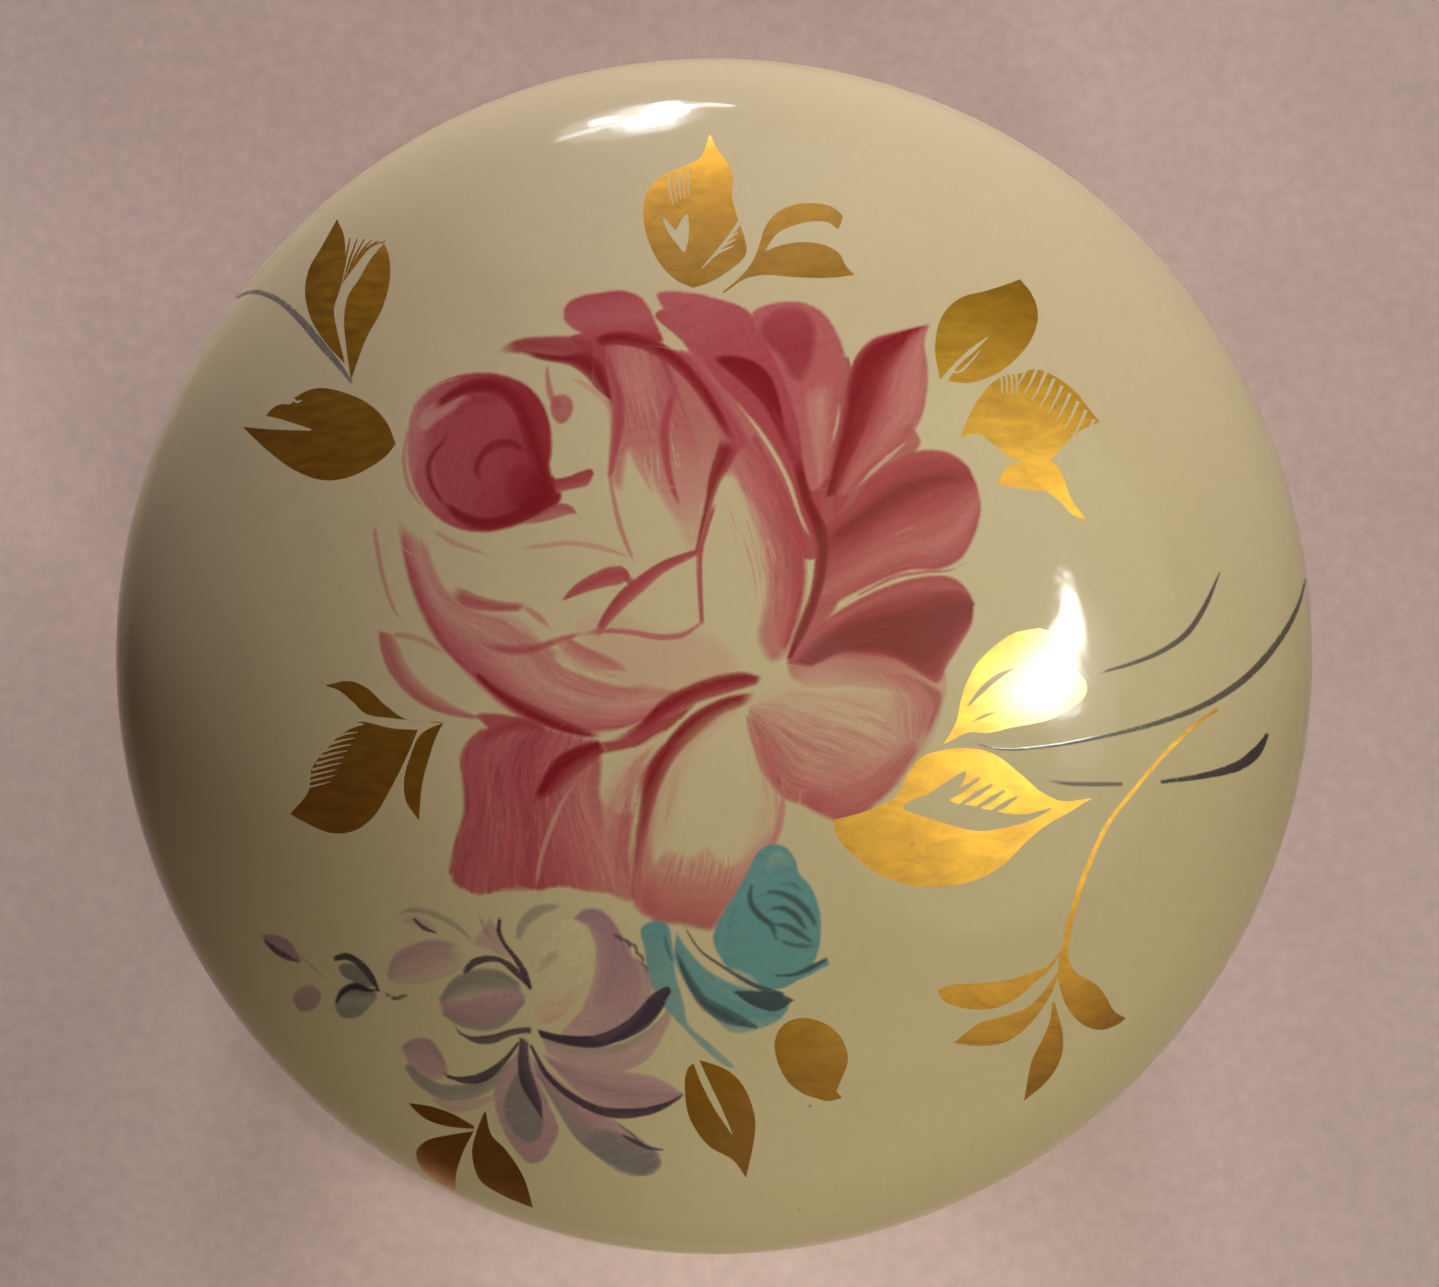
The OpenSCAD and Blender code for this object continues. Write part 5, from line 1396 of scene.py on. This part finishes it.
def inflate():
    """Sew two discs at the seam, blow them up a little and let the spare cloth gather. Ten times life size."""
    K = 10.0
    verts, faces = [], []
    ts = np.r_[-90 + 90 * (np.arange(RINGS + 1) / RINGS), (90 * (np.arange(1, RINGS + 1) / RINGS))]
    ang = np.linspace(0, 2 * math.pi, SEG, endpoint=False)
    start = 0.965
    for t in ts:
        c, s_ = math.cos(math.radians(t)), math.sin(math.radians(t))
        h = DOWN if t < 0 else UP
        r = PUFF_R * max(c, 0.02) * (1 if abs(t) < 1 else start + (1 - start) * math.cos(math.radians(t)) ** 6)
        z = PUFF_Z + h * s_ * 0.93
        w = 0.25 * np.sin(ang * 44) * (abs(t) < 40) * (1 - abs(t) / 40) * (abs(t) > 0.5)
        verts.extend(np.c_[r * np.cos(ang), r * np.sin(ang), z + w].tolist())
    nr = len(ts)
    for j in range(nr - 1):
        for i in range(SEG):
            k = (i + 1) % SEG
            faces.append([j * SEG + i, j * SEG + k, (j + 1) * SEG + k, (j + 1) * SEG + i])
    faces.append([i for i in range(SEG)][::-1])
    faces.append([(nr - 1) * SEG + i for i in range(SEG)])
    ob = new_mesh("inflate_tmp", np.array(verts) * MM * K, faces)
    base = np.array(verts)
    g = ob.vertex_groups.new(name="pin")
    g.add(list(range(RINGS * SEG, (RINGS + 1) * SEG)), 1.0, "REPLACE")
    mod = ob.modifiers.new("cloth", "CLOTH")
    c = mod.settings
    c.quality = 6
    c.mass = 0.08
    c.tension_stiffness = c.compression_stiffness = 12
    c.shear_stiffness = 4
    c.bending_stiffness = 0.03
    c.use_pressure = True
    c.uniform_pressure_force = 5.0
    c.shrink_min = -0.045
    c.vertex_group_mass = "pin"
    c.pin_stiffness = 1.0
    c.effector_weights.gravity = 0.0
    mod.point_cache.frame_start, mod.point_cache.frame_end = 1, 20
    for f in range(1, 21):
        scene.frame_set(f)
    ev = ob.evaluated_get(bpy.context.evaluated_depsgraph_get())
    co = np.empty(len(ob.data.vertices) * 3)
    ev.data.vertices.foreach_get("co", co)
    scene.frame_set(1)
    sim = co.reshape(-1, 3) * 1000 / K
    if not np.isfinite(sim).all() or np.abs(sim - base).max() > 15:
        print("PUFF: simulation left out", float(np.abs(sim - base).max()))
        sim = base
    print("PUFF: cloth moved up to %.2f mm" % float(np.linalg.norm(sim - base, axis=1).max()))
    bpy.data.objects.remove(ob)
    return sim.reshape(nr, SEG, 3), ts


def limit(P, ts):
    """Keep the cloth in the room its solid holds: on the seam, clear of the core and of the powder."""
    Q = P.copy()
    for j, t in enumerate(ts):
        h = DOWN if t < 0 else UP
        for i in range(SEG):
            x, y, z = Q[j, i]
            r = math.hypot(x, y)
            d = z - PUFF_Z
            # level on the nested ellipses
            e = math.sqrt((r / PUFF_R) ** 2 + (d / h) ** 2) + 1e-9
            lo, hi = (0.985, 1.015 if t < 0 else 1.10)
            if abs(t) < 12:
                lo = hi = 1.0
            k = min(max(e, lo), hi) / e
            Q[j, i] = (x * k, y * k, PUFF_Z + d * k)
    return Q


sim, ts = inflate()
sim = limit(sim, ts)


def shell(name, rows, inner_r, inner_h, sign, mats):
    """A closed cloth shell: rows run from the seam to the pole, with a hollow inside."""
    n = len(rows)
    verts = [list(p) for row in rows for p in row]
    pole = len(verts)
    verts.append([0, 0, float(np.mean([p[2] for p in rows[-1]]))])
    faces, mat = [], []
    for j in range(n - 1):
        for i in range(SEG):
            k = (i + 1) % SEG
            faces.append([j * SEG + i, j * SEG + k, (j + 1) * SEG + k, (j + 1) * SEG + i])
    for i in range(SEG):
        faces.append([(n - 1) * SEG + i, (n - 1) * SEG + (i + 1) % SEG, pole])
    b = len(verts)
    ang = np.linspace(0, 2 * math.pi, SEG, endpoint=False)
    m = 10
    for j in range(m):
        t = math.radians(90 * j / m)
        r, z = inner_r * math.cos(t), PUFF_Z + sign * (0.05 + inner_h * math.sin(t))
        verts.extend(np.c_[r * np.cos(ang), r * np.sin(ang), np.full(SEG, z)].tolist())
    ip = len(verts)
    verts.append([0, 0, PUFF_Z + sign * (0.05 + inner_h)])
    for j in range(m - 1):
        for i in range(SEG):
            k = (i + 1) % SEG
            faces.append([b + j * SEG + i, b + (j + 1) * SEG + i, b + (j + 1) * SEG + k, b + j * SEG + k])
    for i in range(SEG):
        faces.append([b + (m - 1) * SEG + i, ip, b + (m - 1) * SEG + (i + 1) % SEG])
        faces.append([i, b + i, b + (i + 1) % SEG, (i + 1) % SEG])
    ob = new_mesh(name, np.array(verts) * MM, faces)
    for x in mats:
        ob.data.materials.append(x)
    fix_normals(ob)
    sub = ob.modifiers.new("sub", "SUBSURF")
    sub.levels = sub.render_levels = 1
    return ob


def velour():
    m, nt, bs = node_tree("velour_pile")
    n = N(nt)
    vec = n.coord()
    nap = n.noise(vec, 70.0, 3.0, 0.6, 1.5)
    tuft = n.noise(vec, 2600.0, 3.0, 0.7)
    fibre = n.noise(n.scaled(vec, (1.0, 0.35, 1.0)), 5200.0, 2.0, 0.7)
    c = n.mix(n.range(nap, 0.35, 0.65, 0, 1), (0.66, 0.30, 0.29), (0.80, 0.44, 0.42))
    c = n.mul_col(c, n.range(tuft, 0.3, 0.7, 0.80, 1.08))
    # powder held in the nap, most in the middle of the face
    sep = n.node("ShaderNodeSeparateXYZ")
    n.link(vec, sep.inputs[0])
    low = n.range(sep.outputs[2], 0.0205, 0.0245, 1, 0)
    dust = n.math("MULTIPLY", low, n.range(n.noise(vec, 240.0, 4.0, 0.65), 0.35, 0.65, 0.15, 0.85))
    c = n.mix(dust, c, (0.86, 0.64, 0.52))
    n.link(c, bs.inputs["Base Color"])
    n.link(n.range(tuft, 0.3, 0.7, 0.85, 1.0), bs.inputs["Roughness"])
    bs.inputs["Specular IOR Level"].default_value = 0.15
    bs.inputs["Sheen Weight"].default_value = 0.7
    bs.inputs["Sheen Roughness"].default_value = 0.4
    bs.inputs["Sheen Tint"].default_value = (1.0, 0.86, 0.82, 1)
    h = n.math("ADD", n.math("MULTIPLY", tuft, 1.0), n.math("MULTIPLY", fibre, 0.7))
    n.link(n.bump(h, 0.9, 0.00035), bs.inputs["Normal"])
    return m


def satin(name, a, b, vec_of=None):
    """Satin: fine warp lines, slow changes of shade, sheen along the folds."""
    m, nt, bs = node_tree(name)
    n = N(nt)
    vec = n.coord()
    slow = n.noise(vec, 50.0, 2.0, 0.5)
    warp = n.node("ShaderNodeTexWave", wave_type="BANDS", bands_direction="Y")
    n.link(vec, warp.inputs["Vector"])
    warp.inputs["Scale"].default_value = 1150.0
    warp.inputs["Distortion"].default_value = 1.2
    warp.inputs["Detail"].default_value = 2.0
    warp.inputs["Detail Scale"].default_value = 2.0
    weft = n.node("ShaderNodeTexWave", wave_type="BANDS", bands_direction="X")
    n.link(vec, weft.inputs["Vector"])
    weft.inputs["Scale"].default_value = 1500.0
    weft.inputs["Distortion"].default_value = 1.5
    slub = n.noise(n.scaled(vec, (0.06, 1.0, 1.0)), 1500.0, 2.0, 0.6)
    c = n.mix(n.range(slow, 0.3, 0.7, 0, 1), a, b)
    c = n.mul_col(c, n.range(slub, 0.3, 0.7, 0.93, 1.05))
    c = n.mul_col(c, n.range(warp.outputs[1], 0, 1, 0.94, 1.03))
    n.link(c, bs.inputs["Base Color"])
    n.link(n.range(slub, 0.3, 0.7, 0.28, 0.40), bs.inputs["Roughness"])
    bs.inputs["Sheen Weight"].default_value = 0.35
    bs.inputs["Sheen Roughness"].default_value = 0.3
    h = n.math("ADD", n.math("MULTIPLY", warp.outputs[1], 0.8),
               n.math("ADD", n.math("MULTIPLY", weft.outputs[1], 0.35), n.math("MULTIPLY", slub, 0.6)))
    n.link(n.bump(h, 0.5, 0.00005), bs.inputs["Normal"])
    return m


rows_face = [sim[j] for j in range(RINGS, 0, -1)]
rows_back = [sim[j] for j in range(RINGS, 2 * RINGS)]
# the two halves stand a hair apart at the seam
for row, dz in ((rows_face[0], -0.06), (rows_back[0], 0.06)):
    row[:, 2] = PUFF_Z + dz
rows_face[0] = sim[RINGS] * [1, 1, 0] + [0, 0, PUFF_Z - 0.06]
rows_back[0] = sim[RINGS] * [1, 1, 0] + [0, 0, PUFF_Z + 0.06]

face = shell("velour_face", rows_face, PUFF_R - 1.4, DOWN - 1.3, -1, [velour()])
back = shell("satin_back", rows_back, PUFF_R - 1.4, UP - 1.0, 1,
             [satin("blush_satin", (0.70, 0.42, 0.36), (0.78, 0.50, 0.42))])
for ob, node, slot in ((face, "puff_face", "velour"), (back, "puff_back", "satin")):
    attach(ob, "puff")
    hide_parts(node)


def batting():
    m, nt, bs = node_tree("cotton_batting")
    n = N(nt)
    vec = n.coord()
    f = n.noise(vec, 900.0, 5.0, 0.7)
    n.link(n.mix(n.range(f, 0.3, 0.7, 0, 1), (0.74, 0.70, 0.62), (0.86, 0.83, 0.76)), bs.inputs["Base Color"])
    bs.inputs["Roughness"].default_value = 0.95
    n.link(n.bump(f, 0.7, 0.0004), bs.inputs["Normal"])
    return m


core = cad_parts["puff_core"]
core.data.materials.clear()
core.data.materials.append(batting())


def build_piping():
    """A two-strand twisted cord laid round the seam."""
    R, r, nu, nv, twists, lobes = PUFF_R + 1.2, 1.1, 1440, 18, 46, 2
    verts, faces = [], []
    for i in range(nu):
        a = 2 * math.pi * i / nu
        for k in range(nv):
            b = 2 * math.pi * k / nv
            ph = lobes * b - twists * lobes * a / 1.0
            rr = r * (0.83 + 0.17 * (abs(math.cos(ph / 2.0)) ** 0.7))
            verts.append([(R + rr * math.cos(b)) * math.cos(a), (R + rr * math.cos(b)) * math.sin(a), PUFF_Z + rr * math.sin(b)])
    for i in range(nu):
        for k in range(nv):
            faces.append([i * nv + k, ((i + 1) % nu) * nv + k, ((i + 1) % nu) * nv + (k + 1) % nv, i * nv + (k + 1) % nv])
    ob = new_mesh("twisted_piping", np.array(verts) * MM, faces)
    fix_normals(ob)
    ob.data.materials.append(satin("piping_yarn", (0.62, 0.33, 0.30), (0.74, 0.43, 0.38)))
    return ob


piping = build_piping()
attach(piping, "puff")
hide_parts("puff_piping")

RIB_A, RIB_H, RIB_T, RIB_W = PUFF_R + 0.2, 11.0, 0.5, 16.0


def ribbon_point(t, v, lift=0.0):
    """A point of the ribbon's middle surface at arch angle t (degrees) and v mm across, and its normal."""
    tr = math.radians(t)
    a, h = RIB_A - 0.3, RIB_H + 0.3
    x, z = a * math.cos(tr), h * math.sin(tr)
    n = Vector((h * math.cos(tr), 0, a * math.sin(tr))).normalized()
    end = min(t, 180 - t) / 90.0
    pleat = 0.28 * math.cos(v * 2 * math.pi / 4.1 + 0.6) * math.exp(-end / 0.10)
    sag = -0.35 * (abs(v) / 8) ** 2.5 * (0.4 + 0.6 * math.sin(tr) ** 2)
    wave = 0.12 * math.sin(t * 0.21 + v * 0.35) * math.sin(tr)
    p = Vector((x * math.sqrt(1 - (v / 33.2) ** 2), v * (1 - 0.06 * math.exp(-end / 0.12)), PUFF_Z + z))
    return p + n * (pleat + sag + wave + lift), n


def build_ribbon():
    nu, nv = 170, 34
    t0 = math.degrees(math.asin(1.0 / RIB_H))
    tt = np.linspace(t0, 180 - t0, nu)
    vv = np.linspace(-RIB_W / 2, RIB_W / 2, nv)
    ring = []
    for k in range(nv):
        ring.append((vv[k], 1))
    for k in range(nv - 1, -1, -1):
        ring.append((vv[k], -1))
    verts, faces = [], []
    for t in tt:
        for v, side in ring:
            e = RIB_W / 2 - abs(v)
            half = (0.5 * RIB_T + 0.06 * math.exp(-((e - 0.55) / 0.35) ** 2)) * min(1.0, 0.45 + e / 0.4)
            p, n = ribbon_point(t, v)
            verts.append(list(p + n * half * side))
    m = len(ring)
    for j in range(nu - 1):
        for k in range(m):
            faces.append([j * m + k, j * m + (k + 1) % m, (j + 1) * m + (k + 1) % m, (j + 1) * m + k])
    for j, flip in ((0, True), (nu - 1, False)):
        for k in range(nv - 1):
            q = [j * m + k, j * m + k + 1, j * m + m - 2 - k, j * m + m - 1 - k]
            faces.append(q[::-1] if flip else q)
    ob = new_mesh("satin_ribbon", np.array(verts) * MM, faces)
    fix_normals(ob)
    ob.data.materials.append(satin("ribbon_satin", (0.72, 0.36, 0.31), (0.80, 0.44, 0.38)))
    mid = [ribbon_point(t, 0)[0] for t in tt]
    length = sum((b - a).length for a, b in zip(mid, mid[1:])) * MM
    return ob, length


def capsule_run(verts, faces, path, r, k=8):
    """A thread of rounded ends along path points."""
    P = [Vector(p) for p in path]
    base = len(verts)
    rings = []
    for i, p in enumerate(P):
        d = (P[min(i + 1, len(P) - 1)] - P[max(i - 1, 0)]).normalized()
        u = d.cross(Vector((0, 0, 1)))
        u = (u if u.length > 1e-6 else d.cross(Vector((0, 1, 0)))).normalized()
        w = d.cross(u)
        f = math.sin(math.pi * (i + 0.35) / (len(P) - 0.3)) ** 0.5
        ring = []
        for q in range(k):
            a = 2 * math.pi * q / k
            ring.append(len(verts))
            verts.append(list(p + (u * math.cos(a) + w * math.sin(a)) * r * f))
        rings.append(ring)
    for a, b in zip(rings, rings[1:]):
        for q in range(k):
            faces.append([a[q], a[(q + 1) % k], b[(q + 1) % k], b[q]])
    faces.append(rings[0][::-1])
    faces.append(rings[-1])


def build_stitches():
    verts, faces = [], []
    for side in (0, 1):
        for row in (9.2, 11.4):
            for q in range(7):
                v = -6.3 + q * 2.1
                path = []
                for i in range(7):
                    vv = v - 0.62 + 1.24 * i / 6
                    t = row if side == 0 else 180 - row
                    p, n = ribbon_point(t, vv, 0.5 * RIB_T + 0.10 * math.sin(math.pi * i / 6) - 0.02)
                    path.append(p)
                capsule_run(verts, faces, path, 0.14)
    ob = new_mesh("ribbon_stitches", np.array(verts) * MM, faces)
    fix_normals(ob)
    ob.data.materials.append(satin("stitch_thread", (0.86, 0.62, 0.55), (0.90, 0.68, 0.60)))
    return ob


ribbon, RIB_LEN = build_ribbon()
stitches = build_stitches()
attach(ribbon, "puff")
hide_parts("puff_ribbon")
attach(stitches, "puff")
print("RIBBON flat %.1f x %.1f mm" % (RIB_W, RIB_LEN * 1000))

# ---------------------------------------------------------------- floor, light
def floor_mat():
    m, nt, bs = node_tree("pale_floor")
    n = N(nt)
    vec = n.coord()
    a = n.noise(vec, 9.0, 3.0, 0.6)
    b = n.noise(vec, 700.0, 3.0, 0.6)
    c = n.mix(n.range(a, 0.3, 0.7, 0, 1), tuple(x * 1.36 for x in lin((176, 155, 142))), tuple(x * 1.49 for x in lin((178, 159, 147))))
    c = n.mul_col(c, n.range(b, 0.3, 0.7, 0.92, 1.07))
    c = n.mul_col(c, n.range(n.noise(vec, 110.0, 2.0, 0.5), 0.3, 0.7, 0.97, 1.03))
    n.link(c, bs.inputs["Base Color"])
    bs.inputs["Roughness"].default_value = 0.9
    bs.inputs["Specular IOR Level"].default_value = 0.1
    return m


bpy.ops.mesh.primitive_plane_add(size=4.0, location=(0, 0, 0))
floor = bpy.context.object
floor.name = "floor"
floor.data.materials.append(floor_mat())

world = bpy.data.worlds.new("world")
scene.world = world
world.use_nodes = True
wnt = world.node_tree
wnt.nodes["Background"].inputs[0].default_value = (1.0, 0.60, 0.66, 1)
wnt.nodes["Background"].inputs[1].default_value = 0.045


def aim(ob, at):
    ob.rotation_euler = (Vector(at) - ob.location).to_track_quat("-Z", "Y").to_euler()


def ray(az, el):
    az, el = math.radians(az), math.radians(el)
    return Vector((math.cos(el) * math.cos(az), math.cos(el) * math.sin(az), math.sin(el)))


def area(name, az, el, dist, size, level, colour=(1, 1, 1), target=(0, 0, 0.055), at=None, spread=None):
    """A soft light seen from target at azimuth from +X and elevation, of the radiance level."""
    li = bpy.data.lights.new(name, "AREA")
    li.shape = "ELLIPSE" if name.startswith("oval") else "RECTANGLE"
    li.size, li.size_y = (2 * dist * math.tan(math.radians(v) / 2) for v in size)
    k = math.pi / 4 if li.shape == "ELLIPSE" else 1.0
    li.energy = level * math.pi * li.size * li.size_y * k
    li.color = colour
    if spread:
        half = math.radians(spread) / 2
        li.spread = 2 * half
        li.energy *= (math.tan(half) - half) / math.tan(half)     # a narrow beam is brighter on its axis
    ob = bpy.data.objects.new(name, li)
    ob.location = Vector(target) + ray(az, el) * dist
    aim(ob, at or target)
    scene.collection.objects.link(ob)
    return ob


def spot(name, az, el, dist, target, at, half, blend, level, colour=(1, 1, 1), radius=0.02, glossy=False):
    """A soft-edged pool of light. level is the share of full light on a facing surface."""
    li = bpy.data.lights.new(name, "SPOT")
    li.energy = level * 4 * math.pi ** 2 * dist ** 2
    li.color = colour
    li.spot_size = math.radians(2 * half)
    li.spot_blend = blend
    li.shadow_soft_size = radius
    ob = bpy.data.objects.new(name, li)
    ob.location = Vector(target) + ray(az, el) * dist
    aim(ob, at)
    ob.visible_glossy = glossy
    scene.collection.objects.link(ob)
    return ob


GLINT = (0.027, 0.0, 0.060)
spot("main", 0, 84, 0.60, GLINT, (0.062, -0.007, 0.058), 9.0, 0.36, 0.375, (1.0, 0.985, 1.0))
# the flame-shaped highlight: five overlapping ovals, narrow at the top
for k, (px, py, wx, wy) in enumerate(((1072, 577, 17, 50), (1068, 604, 32, 60), (1060, 638, 52, 60), (1046, 674, 84, 58), (1030, 706, 108, 46))):
    el = 62 - (px - 1039) * 0.098
    area("oval_glint_%d" % k, 2 + (637 - py) * 0.162, el, 0.35, (wy * 0.076, wx * 0.098), 40, target=GLINT,
         at=(0.052, 0, 0.05), spread=22).visible_diffuse = k < 1
area("oval_veil", -6, 57.5, 0.60, (17, 9), 1.1, target=GLINT)
for deg, az, el, level, colour in ((26, -1, 64, 0.72, (1.0, 1.32, 0.9)), (43, -1, 64, 0.62, (1.0, 1.2, 0.68)),
                                   (64, -12, 61, 0.22, (1.0, 0.9, 0.6))):       # seen in the gold and the glaze only
    area("oval_halo_%d" % deg, az, el, 0.8, (deg * 1.15, deg), level, colour, target=GLINT).visible_diffuse = False
area("oval_top", 92, 40, 1.2, (46, 34), 0.42, (1.0, 0.98, 1.1)).visible_diffuse = False
area("oval_room", 315, 36, 1.2, (80, 46), 0.22, (1.0, 0.88, 0.7)).visible_diffuse = False
# the window's broken reflection near the top edge
for k, (px, py, wx, wy, level) in enumerate(((668, 113, 46, 26, 40), (648, 130, 52, 18, 30), (600, 129, 26, 12, 22), (580, 143, 64, 4, 11),
                                             (712, 101, 62, 6, 14), (632, 128, 150, 44, 3.0), (650, 124, 84, 44, 6))):
    area("oval_window_%d" % k, 98 + (638 - px) * 0.0974, 17 + (py - (127 - (px - 638) * 0.2)) * 0.35, 1.3,
         (wx * 0.0974, wy * 0.35), level, (0.97, 1.0, 1.08)).visible_diffuse = False
spot("top_side", 87, 9, 1.3, (0, 0, 0.06), (0, 0, 0.06), 10, 0.6, 0.87, (1.0, 0.97, 1.27), radius=0.12)
spot("low_side", 292, 27, 1.2, (0, 0, 0.06), (0, 0, 0.06), 11, 0.6, 0.27, (1.0, 0.96, 0.9), radius=0.12)
# pools of light on the table round the jar, aimed past the lid
for az, level in ((92, 0.06), (135, 0.35), (180, 0.21), (222, 0.09), (265, 0.52)):
    at = ray(az, 0) * 0.100
    spot("table_%d" % az, az, 60, 0.60, at, at, 6.4, 0.7, level, (1.0, 0.98, 0.98))
